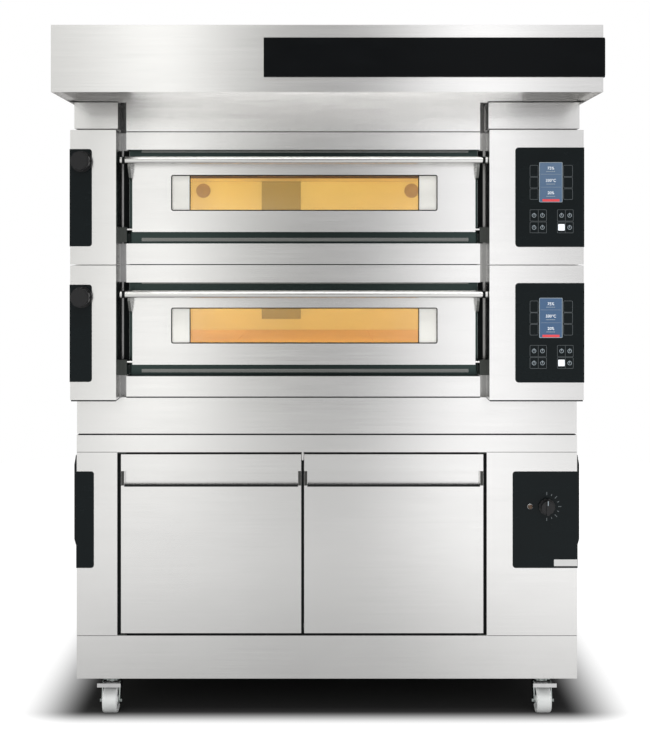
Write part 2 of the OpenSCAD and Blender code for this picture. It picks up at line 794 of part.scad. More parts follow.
module wheel(x, y) {
  half = wheel_w / 2;
  profile = [[axle_r + run, -half], [13, -half], [13, -half + 3], [wheel_r - 9, -half + 5],
    [wheel_r - 6, -half + 1], [wheel_r - 3, -half + 1], [wheel_r, -half + 5], [wheel_r, half - 5],
    [wheel_r - 3, half - 1], [wheel_r - 6, half - 1], [wheel_r - 9, half - 5], [13, half - 3],
    [13, half], [axle_r + run, half]];
  color("white") translate([x, y - trail, wheel_r]) rotate([0, 90, 0]) rotate_extrude() polygon(profile);
}

// The pedal's plate rises from its pivot to the foot bar, with the brake shoe under it.
module brake_pedal(x, y) {
  arm = [[pedal_y, pedal_z - 2], [pedal_y, pedal_z + 2], [-77, pedal_z + 15], [-77, pedal_z + 11]];
  arm_w = 2 * leg_in - 4;
  color("silver") translate([x, y, 0]) union() {
    rod_x(pin_r, [-leg_in - leg_t, leg_in + leg_t], pedal_y, pedal_z);
    translate([-arm_w / 2, 0, 0]) rotate([90, 0, 90]) linear_extrude(arm_w) polygon(arm);
    slab([-leg_in + 8, leg_in - 8], [-52, -38], [pedal_z - 4, pedal_z + 5]);
    slab([-37, 37], [-80, -76], [pedal_z + 6, pedal_z + 18]);
  }
}

module front_left_fork() { fork(-castor_x, castor_y[0], true); }
module front_right_fork() { fork(castor_x, castor_y[0], true); }
module rear_left_fork() { fork(-castor_x, castor_y[1], false); }
module rear_right_fork() { fork(castor_x, castor_y[1], false); }
module front_left_wheel() { wheel(-castor_x, castor_y[0]); }
module front_right_wheel() { wheel(castor_x, castor_y[0]); }
module rear_left_wheel() { wheel(-castor_x, castor_y[1]); }
module rear_right_wheel() { wheel(castor_x, castor_y[1]); }
module left_brake_pedal() { brake_pedal(-castor_x, castor_y[0]); }
module right_brake_pedal() { brake_pedal(castor_x, castor_y[0]); }

stand_base();
stand_left_column();
stand_right_column();
stand_top_rail();
stand_plinth();
stand_back_panel();
prover_liner();
prover_runners();
prover_heater();
prover_control_panel();
prover_cowls();
castor_plates();
black_inlays();
lower_casing();
upper_casing();
front_frames();
left_housings();
control_housings();
lower_chamber();
upper_chamber();
deck_stones();
heating_elements();
chamber_lamps();
control_glass();
display_screens();
hinge_brackets();
flue_ducts();
chimney_box();
hood_canopy();
hood_strip();
hood_collar();
lower_door_skin();
lower_door_liner();
lower_door_glass();
lower_door_handle();
lower_handle_arms();
upper_door_skin();
upper_door_liner();
upper_door_glass();
upper_door_handle();
upper_handle_arms();
lower_vent_knob();
lower_vent_shaft();
upper_vent_knob();
upper_vent_shaft();
prover_left_door();
prover_left_door_liner();
prover_right_door();
prover_right_door_liner();
thermostat_knob();
front_left_fork();
front_right_fork();
rear_left_fork();
rear_right_fork();
front_left_wheel();
front_right_wheel();
rear_left_wheel();
rear_right_wheel();
left_brake_pedal();
right_brake_pedal();
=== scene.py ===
"""Looks of the two-deck pizza oven with its hood and prover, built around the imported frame."""

import json
import math

import bmesh
import bpy
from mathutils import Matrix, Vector


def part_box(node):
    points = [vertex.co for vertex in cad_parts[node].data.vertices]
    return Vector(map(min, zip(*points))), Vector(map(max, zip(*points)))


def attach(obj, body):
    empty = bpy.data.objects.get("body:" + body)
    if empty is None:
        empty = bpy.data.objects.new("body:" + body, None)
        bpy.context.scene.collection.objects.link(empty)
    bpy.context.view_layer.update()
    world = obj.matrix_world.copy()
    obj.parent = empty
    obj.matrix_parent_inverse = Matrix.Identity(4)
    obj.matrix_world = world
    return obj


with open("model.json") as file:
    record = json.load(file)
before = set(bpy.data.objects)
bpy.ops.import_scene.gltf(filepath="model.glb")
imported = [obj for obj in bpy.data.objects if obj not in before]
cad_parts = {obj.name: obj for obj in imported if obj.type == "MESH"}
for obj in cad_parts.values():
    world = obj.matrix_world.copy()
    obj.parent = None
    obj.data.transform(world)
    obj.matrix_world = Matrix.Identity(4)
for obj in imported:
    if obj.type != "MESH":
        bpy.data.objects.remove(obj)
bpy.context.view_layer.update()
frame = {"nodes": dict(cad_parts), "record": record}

nodes = frame["nodes"]
MM = 0.001
DECKS = ("lower", "upper")


# ---------- places, all from the frame ----------

def low(node):
    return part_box(node)[0]


def high(node):
    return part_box(node)[1]


deck_bottom = {d: low(d + "_casing").z for d in DECKS}
middle_y = low("front_frames").y           # face of the middle panels and the doors
housing_y = low("left_housings").y         # face of the side housings
glass_y = low("control_glass").y           # face of the black panels on the decks
hood_lo, hood_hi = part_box("hood_canopy")
mouth_y = middle_y + 50 * MM               # plate around each chamber's mouth
OPENINGS = {o["name"]: o["box_m"] for o in frame["record"]["physics"]["openings"]}


# ---------- camera ----------

CAMERA_X = -0.006
CAMERA_AWAY = 3.75       # in front of the side housings
CAMERA_HEIGHT = 1.4917
LENS_MM = 57.96
SHIFT_Y = -0.174         # how far the picture is moved off the lens's axis, in picture widths


def make_camera():
    data = bpy.data.cameras.new("camera")
    data.lens = LENS_MM
    data.shift_y = SHIFT_Y
    data.clip_end = 60
    cam = bpy.data.objects.new("camera", data)
    bpy.context.scene.collection.objects.link(cam)
    cam.location = (CAMERA_X, housing_y - CAMERA_AWAY, CAMERA_HEIGHT)
    cam.rotation_euler = (math.radians(90), 0, 0)
    bpy.context.scene.camera = cam


make_camera()


# ---------- node helpers ----------

class Shader:
    """A new material with its Principled BSDF, and short calls that add and join nodes."""

    def __init__(self, name, **values):
        self.mat = bpy.data.materials.new(name)
        self.mat.use_nodes = True
        self.tree = self.mat.node_tree
        self.bsdf = self.tree.nodes["Principled BSDF"]
        self.out = self.tree.nodes["Material Output"]
        for socket, value in values.items():
            self.bsdf.inputs[socket.replace("_", " ")].default_value = value

    def add(self, kind, **settings):
        node = self.tree.nodes.new(kind)
        for key, value in settings.items():
            if key.startswith("in_"):
                node.inputs[key[3:].replace("_", " ")].default_value = value
            else:
                setattr(node, key, value)
        return node

    def link(self, source, target):
        self.tree.links.new(source, target)

    def coords(self, scale):
        """Object coordinates, stretched by scale."""
        place = self.add("ShaderNodeTexCoord")
        mapping = self.add("ShaderNodeMapping")
        mapping.inputs["Scale"].default_value = scale
        self.link(place.outputs["Object"], mapping.inputs["Vector"])
        return mapping.outputs["Vector"]

    def noise(self, vector, scale, detail=4.0, rough=0.55):
        node = self.add("ShaderNodeTexNoise", in_Scale=scale, in_Detail=detail, in_Roughness=rough)
        self.link(vector, node.inputs["Vector"])
        return node.outputs["Fac"]

    def ramp(self, fac, stops):
        """The colour at fac, from (position, colour) stops."""
        node = self.add("ShaderNodeValToRGB")
        while len(node.color_ramp.elements) < len(stops):
            node.color_ramp.elements.new(0.5)
        for element, (pos, value) in zip(node.color_ramp.elements, stops):
            element.position = pos
            element.color = (*value, 1)
        self.link(fac, node.inputs["Fac"])
        return node.outputs["Color"]

    def span(self, fac, lo, hi):
        """fac from 0..1 to lo..hi."""
        node = self.add("ShaderNodeMapRange")
        node.inputs["To Min"].default_value = lo
        node.inputs["To Max"].default_value = hi
        self.link(fac, node.inputs["Value"])
        return node.outputs["Result"]

    def maths(self, operation, a, b):
        node = self.add("ShaderNodeMath", operation=operation)
        for socket, value in zip(node.inputs, (a, b)):
            if isinstance(value, (int, float)):
                socket.default_value = value
            else:
                self.link(value, socket)
        return node.outputs["Value"]

    def blend(self, fac, a, b):
        """The colour a where fac is 0, b where it is 1."""
        node = self.add("ShaderNodeMix", data_type="RGBA")
        for name, value in (("Factor", fac), ("A", a), ("B", b)):
            socket = [s for s in node.inputs if s.name == name and s.enabled][0]
            if isinstance(value, tuple):
                socket.default_value = (*value, 1)
            elif isinstance(value, (int, float)):
                socket.default_value = value
            else:
                self.link(value, socket)
        return [s for s in node.outputs if s.enabled][0]

    def inside(self, x, y):
        """1 where the object's point lies within both ranges, else 0."""
        place = self.add("ShaderNodeTexCoord")
        where = self.add("ShaderNodeSeparateXYZ")
        self.link(place.outputs["Object"], where.inputs[0])
        mask = None
        for axis, (lo, hi) in zip("XY", (x, y)):
            for test, edge in (("GREATER_THAN", lo), ("LESS_THAN", hi)):
                hit = self.maths(test, where.outputs[axis], edge)
                mask = hit if mask is None else self.maths("MULTIPLY", mask, hit)
        return mask

    def scaled(self, colour, factor):
        """The colour, made lighter or darker by factor."""
        node = self.add("ShaderNodeVectorMath", operation="SCALE")
        if isinstance(colour, tuple):
            node.inputs[0].default_value = colour
        else:
            self.link(colour, node.inputs[0])
        self.link(factor, node.inputs["Scale"])
        return node.outputs["Vector"]

    def bump(self, height, strength, distance):
        node = self.add("ShaderNodeBump", in_Strength=strength, in_Distance=distance)
        self.link(height, node.inputs["Height"])
        self.link(node.outputs["Normal"], self.bsdf.inputs["Normal"])


STEEL = (0.76, 0.755, 0.745)
# painted shade: the near-black colour painted into the slots of the recess
RECESS_SLOT_SHADE = (0.035, 0.050, 0.047)


def brushed(name, tint, rough=0.20, grain=1.0, aniso=0.86, recess=None, shade=0.5):
    """Stainless sheet with fine long lines, level on vertical faces and along X on level ones.

    recess holds two (x, y) regions in the frame's metres: a channel darkened by the factor shade,
    and the slots in it, painted near black; both are painted shade.
    """
    s = Shader(name, Metallic=1.0, Anisotropic=aniso, Anisotropic_Rotation=0.25)
    walls = s.noise(s.coords((2.5, 2.5, 700)), 1.0, 6, 0.7)
    decks = s.noise(s.coords((2.5, 700, 2.5)), 1.0, 6, 0.7)
    facing = s.add("ShaderNodeNewGeometry")
    split = s.add("ShaderNodeSeparateXYZ")
    s.link(facing.outputs["Normal"], split.inputs[0])
    level = s.maths("GREATER_THAN", s.maths("ABSOLUTE", split.outputs["Z"], 0), 0.8)
    lines = s.blend(level, walls, decks)
    cloud = s.noise(s.coords((1.4, 1.4, 2.6)), 1.6, 3)
    smear = s.noise(s.coords((5, 5, 60)), 1.0, 3)
    tone = s.maths("ADD", s.span(lines, -0.10 * grain, 0.10 * grain),
                   s.span(cloud, 0.93, 1.05))
    if recess:
        # painted shade: the recess's channel is darkened and its slots painted near black
        channel, slot = (s.inside(*region) for region in recess)
        tone = s.maths("MULTIPLY", tone, s.span(channel, 1.0, shade))
        tint = s.blend(slot, tint, tuple(c / shade for c in RECESS_SLOT_SHADE))
    s.link(s.scaled(tint, tone), s.bsdf.inputs["Base Color"])
    roughness = s.maths("ADD", s.span(lines, rough - 0.05, rough + 0.06),
                        s.span(smear, -0.03, 0.04))
    s.link(roughness, s.bsdf.inputs["Roughness"])
    s.bump(lines, 0.07 * grain, 0.0002)
    tangent = s.add("ShaderNodeTangent", direction_type="RADIAL", axis="Z")
    s.link(tangent.outputs["Tangent"], s.bsdf.inputs["Tangent"])
    return s.mat


def black_glass(name, tint=(0.0035, 0.0060, 0.0068), rough=0.16, shine=0.13):
    """Back-painted glass: near black with a faint cast, and a few soft wipe marks in its gloss."""
    s = Shader(name, IOR=1.5, Specular_IOR_Level=shine)
    smear = s.noise(s.coords((7, 7, 18)), 1.5, 5)
    dust = s.noise(s.coords((400, 400, 400)), 1.0, 2)
    wiped = tuple(1.9 * c for c in tint)
    s.link(s.blend(s.span(smear, 0.0, 0.7), tint, wiped), s.bsdf.inputs["Base Color"])
    gloss = s.maths("ADD", s.span(smear, rough, rough + 0.16), s.span(dust, 0, 0.03))
    s.link(gloss, s.bsdf.inputs["Roughness"])
    return s.mat


def plastic(name, tint, rough=0.45, grain_scale=900, strength=0.15, shine=0.5):
    """Moulded plastic or powder coat with a fine grain and slight tone changes."""
    s = Shader(name, IOR=1.46, Specular_IOR_Level=shine)
    grain = s.noise(s.coords((1, 1, 1)), grain_scale, 2)
    cloud = s.noise(s.coords((1, 1, 1)), 14, 3)
    shade = tuple(0.8 * c for c in tint)
    s.link(s.blend(cloud, shade, tint), s.bsdf.inputs["Base Color"])
    s.link(s.span(cloud, rough - 0.06, rough + 0.08), s.bsdf.inputs["Roughness"])
    s.bump(grain, strength, 0.0002)
    return s.mat


def metal(name, tint, rough, wear=0.12, scale=60):
    """Plated or polished metal with uneven gloss."""
    s = Shader(name, Metallic=1.0)
    cloud = s.noise(s.coords((1, 1, 1)), scale, 5)
    s.link(s.blend(cloud, tuple(0.82 * c for c in tint), tint), s.bsdf.inputs["Base Color"])
    s.link(s.span(cloud, rough, rough + wear), s.bsdf.inputs["Roughness"])
    s.bump(s.noise(s.coords((1, 1, 1)), scale * 9, 3), 0.06, 0.0002)
    return s.mat


def glowing(name, tint, strength, rough=0.4, scale=30, spread=0.15):
    """A glowing surface: an even glow with a slight unevenness."""
    s = Shader(name, Roughness=rough)
    cloud = s.noise(s.coords((1, 1, 1)), scale, 3)
    colour = s.blend(cloud, tuple(c * (1 - spread) for c in tint), tint)
    s.link(colour, s.bsdf.inputs["Base Color"])
    s.link(colour, s.bsdf.inputs["Emission Color"])
    s.bsdf.inputs["Emission Strength"].default_value = strength
    return s.mat


def window_glass():
    """Clear glass with faint wipe marks, which lets the light through to what is behind it."""
    s = Shader("window_glass", Transmission_Weight=1.0, IOR=1.45)
    smear = s.noise(s.coords((6, 6, 14)), 2.0, 4)
    s.link(s.blend(smear, (0.98, 0.98, 0.97), (0.95, 0.95, 0.93)), s.bsdf.inputs["Base Color"])
    s.link(s.span(smear, 0.0, 0.04), s.bsdf.inputs["Roughness"])
    path = s.add("ShaderNodeLightPath")
    clear = s.add("ShaderNodeBsdfTransparent", in_Color=(0.93, 0.93, 0.92, 1))
    mix = s.add("ShaderNodeMixShader")
    s.link(path.outputs["Is Shadow Ray"], mix.inputs["Fac"])
    s.link(s.bsdf.outputs["BSDF"], mix.inputs[1])
    s.link(clear.outputs["BSDF"], mix.inputs[2])
    s.link(mix.outputs["Shader"], s.out.inputs["Surface"])
    return s.mat


def chamber_steel():
    """The chamber's wall: heat-tinted steel, with a painted glow that stands in for the light
    inside it.
    """
    s = Shader("chamber_steel", Metallic=0.55)
    brushing = s.noise(s.coords((3, 3, 260)), 1.0, 5, 0.7)
    heat = s.noise(s.coords((2.2, 2.2, 6)), 1.0, 4)
    tint = s.blend(s.span(heat, 0.2, 0.9), (0.78, 0.67, 0.29), (0.68, 0.54, 0.19))
    shade = s.span(s.inside(*VENT_BOX), 1.0, 0.5)
    polished = s.blend(s.span(brushing, 0, 0.35), tint, (0.86, 0.72, 0.45))
    s.link(s.scaled(polished, shade), s.bsdf.inputs["Base Color"])
    s.link(s.span(brushing, 0.30, 0.48), s.bsdf.inputs["Roughness"])
    # painted light: the wall glows, less over the vent plate
    s.link(s.scaled(tint, shade), s.bsdf.inputs["Emission Color"])
    s.bsdf.inputs["Emission Strength"].default_value = 0.26
    s.bump(brushing, 0.15, 0.0003)
    return s.mat


def stone():
    """Baking stone: warm fired clay, with fine pits, flour dust and toasted patches, and a painted
    glow.
    """
    s = Shader("baking_stone")
    pits = s.noise(s.coords((1, 1, 1)), 420, 5, 0.7)
    patches = s.noise(s.coords((1, 1, 1)), 7, 5)
    toasted = s.blend(s.span(patches, 0.1, 0.8), (0.88, 0.56, 0.20), (0.72, 0.40, 0.12))
    s.link(s.blend(s.span(pits, 0, 0.4), toasted, (0.92, 0.70, 0.36)), s.bsdf.inputs["Base Color"])
    s.link(s.span(pits, 0.7, 0.95), s.bsdf.inputs["Roughness"])
    # painted light: the stone glows faintly in its own colour
    s.link(toasted, s.bsdf.inputs["Emission Color"])
    s.bsdf.inputs["Emission Strength"].default_value = 0.24
    s.bump(pits, 0.35, 0.0006)
    return s.mat


def screen():
    """The lit display: steel blue, lighter towards the top."""
    s = Shader("screen", Roughness=0.22)
    split = s.add("ShaderNodeSeparateXYZ")
    place = s.add("ShaderNodeTexCoord")
    s.link(place.outputs["Generated"], split.inputs[0])
    cloud = s.noise(s.coords((1, 1, 1)), 25, 2)
    fall = s.maths("ADD", split.outputs["Z"], s.span(cloud, -0.1, 0.1))
    colour = s.ramp(fall, [(0.0, (0.035, 0.080, 0.16)), (0.6, (0.045, 0.095, 0.18)),
                           (1.0, (0.075, 0.125, 0.20))])
    s.link(colour, s.bsdf.inputs["Base Color"])
    s.link(colour, s.bsdf.inputs["Emission Color"])
    s.bsdf.inputs["Emission Strength"].default_value = 0.45
    return s.mat


def rope():
    """Glass-fibre rope seal: a plaited surface with a matt sheen."""
    s = Shader("rope_seal", Roughness=0.9, Sheen_Weight=0.3)
    wave = s.add("ShaderNodeTexWave", bands_direction="DIAGONAL", in_Scale=180, in_Distortion=2.0)
    s.link(s.coords((1, 1, 1)), wave.inputs["Vector"])
    s.link(s.blend(wave.outputs["Fac"], (0.30, 0.27, 0.22), (0.62, 0.57, 0.48)),
           s.bsdf.inputs["Base Color"])
    s.bump(wave.outputs["Fac"], 0.6, 0.0008)
    return s.mat


# painted shade behind the middle panels: a darker channel and near-black slots
RECESS_Y = (middle_y + 0.0032, middle_y + 0.060)
RECESS = (((-0.662, 0.5075), RECESS_Y), ((-0.634, 0.484), RECESS_Y))   # behind the middle panels
VENT_BOX = ((-0.255, -0.099), (0.535, 0.5685))                         # on each chamber's rear wall

MATS = {
    "panel": brushed("brushed_panel", STEEL),
    "recess_panel": brushed("recess_panel", STEEL, recess=RECESS),
    # the chimney's channel is painted darker still, as shade
    "chimney_panel": brushed("chimney_panel", STEEL, recess=RECESS, shade=0.12),
    "inner_panel": brushed("liner_sheet", (0.58, 0.58, 0.57), 0.34, 0.7, 0.5),
    "back_panel": brushed("galvanised_sheet", (0.50, 0.51, 0.52), 0.42, 0.6, 0.3),
    "arm": brushed("arm_steel", (0.72, 0.71, 0.70), 0.28, 0.5, 0.4),
    # painted shade: a dark steel tint for the handle arms and the strips in the gaps at each
    # chamber mouth
    "sill": brushed("dark_steel_painted_shade", (0.23, 0.235, 0.225), 0.26, 0.6, 0.5),
    # painted shade: a near-black tint for the brackets in the shade at the doors' hinges
    "bracket": brushed("bracket_steel_painted_shade", (0.07, 0.075, 0.07), 0.34, 0.5, 0.3),
    "handle": brushed("handle_steel", (0.66, 0.655, 0.64), 0.16, 0.4, 0.2),
    "black": black_glass("black_glass"),
    "strip": black_glass("strip_gloss", (0.003, 0.0035, 0.004), 0.10, 0.05),
    "cowl": plastic("cowl_coat", (0.012, 0.014, 0.015), 0.55, 1400, 0.3, 0.2),
    "knob": plastic("knob_plastic", (0.012, 0.012, 0.013), 0.36, 1500, 0.2, 0.4),
    "rubber": plastic("black_rubber", (0.007, 0.009, 0.009), 0.65, 1100, 0.3, 0.15),
    "nylon": plastic("white_nylon", (0.93, 0.95, 0.94), 0.38, 500, 0.1),
    # painted light: the white ends behind the door glass glow faintly
    "enamel": glowing("white_enamel_painted_glow", (0.90, 0.89, 0.86), 0.32, 0.35, 200, 0.05),
    "label": plastic("blank_label", (0.80, 0.80, 0.79), 0.5, 300, 0.05),
    "chrome": metal("bright_chrome", (0.80, 0.80, 0.80), 0.06, 0.10),
    # painted shade: a darker, greenish tint stands in for the dark shade the fork legs reflect
    "fork": metal("fork_chrome_painted_shade", (0.36, 0.39, 0.38), 0.08, 0.10),
    "zinc": metal("zinc_plate", (0.62, 0.63, 0.63), 0.22, 0.18, 90),
    "element": metal("oxidised_steel", (0.20, 0.17, 0.15), 0.5, 0.2),
    "glass": window_glass(),
    "chamber": chamber_steel(),
    "stone": stone(),
    "screen": screen(),
    "rope": rope(),
    "lamp": glowing("lamp_glass", (0.50, 0.34, 0.15), 0.25, 0.4, 60, 0.45),
    "print": glowing("screen_print", (0.38, 0.44, 0.48), 0.15, 0.4, 200),
    "lit_white": glowing("lit_key", (0.82, 0.85, 0.88), 0.5, 0.4, 200, 0.05),
    "pull_end": plastic("pull_end_grey", (0.045, 0.046, 0.042), 0.5, 900, 0.1),
    "outline": plastic("key_print", (0.16, 0.18, 0.19), 0.4, 500, 0.05),
    "red": glowing("red_bar", (0.62, 0.05, 0.06), 0.5, 0.4, 200),
    "amber": plastic("indicator_lens", (0.10, 0.055, 0.03), 0.2, 300, 0.02),
}


# ---------- the CAD nodes' materials and edges ----------

LOOKS = {
    "stand_base": "panel", "stand_left_column": "panel", "stand_right_column": "panel",
    "stand_top_rail": "panel", "stand_plinth": "panel", "stand_back_panel": "back_panel",
    "prover_liner": "inner_panel", "prover_runners": "inner_panel", "prover_heater": "back_panel",
    "prover_control_panel": "black", "prover_cowls": "cowl", "castor_plates": "zinc",
    "black_inlays": "black", "lower_casing": "panel", "upper_casing": "panel",
    "front_frames": "recess_panel",
    "left_housings": "panel", "control_housings": "panel", "lower_chamber": "chamber",
    "upper_chamber": "chamber", "deck_stones": "stone", "heating_elements": "element",
    "chamber_lamps": "lamp", "control_glass": "black", "display_screens": "screen",
    "hinge_brackets": "bracket", "flue_ducts": "back_panel", "chimney_box": "chimney_panel",
    "hood_canopy": "panel",
    "hood_strip": "strip", "hood_collar": "back_panel", "thermostat_knob": "knob",
    "left_brake_pedal": "chrome", "right_brake_pedal": "chrome",
}
for d in DECKS:
    LOOKS.update({
        d + "_door_skin": "panel", d + "_door_liner": "inner_panel", d + "_door_glass": "glass",
        d + "_door_handle": "handle", d + "_handle_arms": "sill",
        d + "_vent_knob": "knob", d + "_vent_shaft": "zinc",
    })
for side in ("left", "right"):
    LOOKS.update({f"prover_{side}_door": "panel", f"prover_{side}_door_liner": "inner_panel"})
    for end in ("front", "rear"):
        LOOKS.update({f"{end}_{side}_fork": "fork", f"{end}_{side}_wheel": "nylon"})

SHARP = math.radians(35)
SHEET_EDGE = 0.0007
EDGE = {"glass": 0.0003, "screen": 0.0002, "stone": 0.0012, "knob": 0.0012, "nylon": 0.001,
        "cowl": 0.0014}


def dress(node, look):
    """Gives a CAD node its material, small round edges and smooth shading between them."""
    o = nodes[node]
    o.data.materials.clear()
    o.data.materials.append(MATS[look])
    for polygon in o.data.polygons:
        polygon.use_smooth = True
    bevel = o.modifiers.new("edges", "BEVEL")
    bevel.width = EDGE.get(look, SHEET_EDGE)
    bevel.segments = 2
    bevel.limit_method = "ANGLE"
    bevel.angle_limit = SHARP
    bevel.harden_normals = True


for node, look in LOOKS.items():
    dress(node, look)


# ---------- mesh helpers ----------

def make_piece(name, bm, look, body, smooth=True):
    """Turns a bmesh into a piece that rides on a body."""
    bmesh.ops.recalc_face_normals(bm, faces=bm.faces)
    mesh = bpy.data.meshes.new(name)
    bm.to_mesh(mesh)
    bm.free()
    if smooth:
        for polygon in mesh.polygons:
            polygon.use_smooth = True
        mesh.set_sharp_from_angle(angle=SHARP)
    mesh.materials.append(MATS[look])
    o = bpy.data.objects.new(name, mesh)
    bpy.context.scene.collection.objects.link(o)
    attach(o, body)


def outline(x, z, r, steps=6):
    """Points of a round-cornered rectangle in the XZ plane, anticlockwise from the front."""
    r = min(r, (x[1] - x[0]) / 2, (z[1] - z[0]) / 2)
    points = []
    for cx, cz, start in ((x[1] - r, z[1] - r, 0), (x[0] + r, z[1] - r, 90),
                          (x[0] + r, z[0] + r, 180), (x[1] - r, z[0] + r, 270)):
        for i in range(steps + 1):
            a = math.radians(start + 90 * i / steps)
            points.append((cx + r * math.cos(a), cz + r * math.sin(a)))
    return points


def add_plate(bm, points, y):
    """A plate from an XZ outline, from y[0] at the front to y[1]."""
    front = [bm.verts.new((px, y[0], pz)) for px, pz in points]
    back = [bm.verts.new((px, y[1], pz)) for px, pz in points]
    bm.faces.new(front)
    bm.faces.new(back[::-1])
    for i in range(len(points)):
        j = (i + 1) % len(points)
        bm.faces.new((front[i], back[i], back[j], front[j]))


def add_ring(bm, outer, inner, y):
    """A flat frame between two outlines with the same number of points."""
    loops = [[bm.verts.new((px, yy, pz)) for px, pz in points]
             for points in (outer, inner) for yy in y]
    out_f, out_b, in_f, in_b = loops
    for i in range(len(outer)):
        j = (i + 1) % len(outer)
        bm.faces.new((out_f[i], out_f[j], in_f[j], in_f[i]))
        bm.faces.new((out_b[j], out_b[i], in_b[i], in_b[j]))
        bm.faces.new((out_f[j], out_f[i], out_b[i], out_b[j]))
        bm.faces.new((in_f[i], in_f[j], in_b[j], in_b[i]))


def bar(bm, x, y, z):
    """A box whose edges along Y are just broken."""
    add_plate(bm, outline(x, z, 0.2 * MM, 2), y)


def disc(cx, cz, r, steps):
    """Points of a circle in the XZ plane."""
    return [(cx + r * math.cos(2 * math.pi * i / steps), cz + r * math.sin(2 * math.pi * i / steps))
            for i in range(steps)]


def rect_ring(bm, x, z, r, width, y):
    """A flat frame of even width round a rectangle with round corners."""
    inner = outline((x[0] + width, x[1] - width), (z[0] + width, z[1] - width),
                    max(r - width, 0.2 * MM))
    add_ring(bm, outline(x, z, r), inner, y)


def add_tube(bm, path, r, sides=12):
    """A closed loop of round tube along the path's points, all in one XZ plane."""
    rings = []
    n = len(path)
    for i, (px, py, pz) in enumerate(path):
        ahead, behind = Vector(path[(i + 1) % n]), Vector(path[i - 1])
        along = (ahead - behind).normalized()
        side = along.cross(Vector((0, 1, 0))).normalized()
        depth = Vector((0, 1, 0))
        rings.append([bm.verts.new(Vector((px, py, pz))
                                   + r * (math.cos(a) * side + math.sin(a) * depth))
                      for a in (2 * math.pi * k / sides for k in range(sides))])
    for i in range(n):
        for k in range(sides):
            m = (k + 1) % sides
            j = (i + 1) % n
            bm.faces.new((rings[i][k], rings[j][k], rings[j][m], rings[i][m]))


def turned(bm, profile, centre, axis, steps=40):
    """A turned solid from (distance along axis, radius) points, closed where the radius is 0."""
    axis = Vector(axis).normalized()
    u = axis.orthogonal().normalized()
    v = axis.cross(u)
    rings = []
    for d, r in profile:
        base = Vector(centre) + d * axis
        if r == 0:
            rings.append([bm.verts.new(base)])
        else:
            rings.append([bm.verts.new(base + r * (math.cos(a) * u + math.sin(a) * v))
                          for a in (2 * math.pi * k / steps for k in range(steps))])
    for a, b in zip(rings, rings[1:]):
        for k in range(steps):
            m = (k + 1) % steps
            if len(a) == 1:
                bm.faces.new((a[0], b[k], b[m]))
            elif len(b) == 1:
                bm.faces.new((a[k], b[0], a[m]))
            else:
                bm.faces.new((a[k], b[k], b[m], a[m]))


def add_screw(bm, at, axis, r=0.005):
    """A pan-head screw with a round socket, standing on a face."""
    h = 0.55 * r
    turned(bm, [(0, r), (0.4 * h, r), (0.8 * h, 0.85 * r), (h, 0.62 * r), (h, 0.45 * r),
                (0.45 * h, 0.42 * r), (0.45 * h, 0)], at, axis, 24)


# ---------- oven doors ----------

def door_details(d):
    """The window's gasket, white ends and dividers, and the bushings of the handle."""
    body = d + "_door"
    lo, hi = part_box(d + "_door_skin")
    glass_lo, glass_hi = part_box(d + "_door_glass")
    y = lo.y
    wx, wz = (glass_lo.x, glass_hi.x), (glass_lo.z, glass_hi.z)

    bm = bmesh.new()
    grow = 1.2 * MM
    rect_ring(bm, (wx[0] - grow, wx[1] + grow), (wz[0] - grow, wz[1] + grow),
              7 * MM, 3.2 * MM, (y - 0.7 * MM, y + 2.4 * MM))
    make_piece(d + "_window_gasket", bm, "rubber", body)

    end = 58 * MM
    for label, x in (("left", (wx[0] + 1 * MM, wx[0] + end)),
                     ("right", (wx[1] - end, wx[1] - 1 * MM))):
        bm = bmesh.new()
        add_plate(bm, outline(x, (wz[0] + 1 * MM, wz[1] - 1 * MM), 3 * MM),
                  (y + 7.4 * MM, y + 8.9 * MM))
        # the white ends glow faintly, a painted light
        make_piece(f"{d}_white_end_{label}", bm, "enamel", body)
        bm = bmesh.new()
        edge = x[1] if label == "left" else x[0]
        add_plate(bm, outline((edge - 1.6 * MM, edge + 1.6 * MM),
                              (wz[0] + 0.5 * MM, wz[1] - 0.5 * MM), 0.5 * MM),
                  (y + 7.2 * MM, y + 11 * MM))
        make_piece(f"{d}_window_divider_{label}", bm, "rubber", body)

    handle_lo, handle_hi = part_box(d + "_door_handle")
    hy, hz = (handle_lo.y + handle_hi.y) / 2, (handle_lo.z + handle_hi.z) / 2
    cap, neck, r, bore = 6 * MM, 9.5 * MM, 11.2 * MM, 9.3 * MM
    bm = bmesh.new()
    for x0 in (handle_lo.x + cap, handle_hi.x - cap - neck):
        turned(bm, [(0.2 * MM, bore), (0.2 * MM, r - 0.6 * MM), (0.8 * MM, r),
                    (neck - 0.8 * MM, r), (neck - 0.2 * MM, r - 0.6 * MM), (neck - 0.2 * MM, bore)],
               (x0, hy, hz), (1, 0, 0))
    make_piece(d + "_handle_bushings", bm, "rubber", body)


MOUTH_SEAL_X = (-0.609, 0.465)
MOUTH_SEAL_Z = (0.143, 0.317)      # above the deck's bottom
MOUTH_SEAL_CORNER = 0.012


def chamber_details(d):
    """The rope seal round the mouth, which stays on the body when the door drops."""
    z0 = deck_bottom[d]
    seal_r = 2.1 * MM
    seal_y = mouth_y - seal_r
    points = outline(MOUTH_SEAL_X, (z0 + MOUTH_SEAL_Z[0], z0 + MOUTH_SEAL_Z[1]),
                     MOUTH_SEAL_CORNER, 8)
    bm = bmesh.new()
    add_tube(bm, [(px, seal_y, pz) for px, pz in points], seal_r)
    make_piece(d + "_mouth_seal", bm, "rope", "cabinet")


for d in DECKS:
    door_details(d)
    chamber_details(d)


# ---------- control panels ----------

PRINT_Y = (glass_y - 0.35 * MM, glass_y + 0.4 * MM)

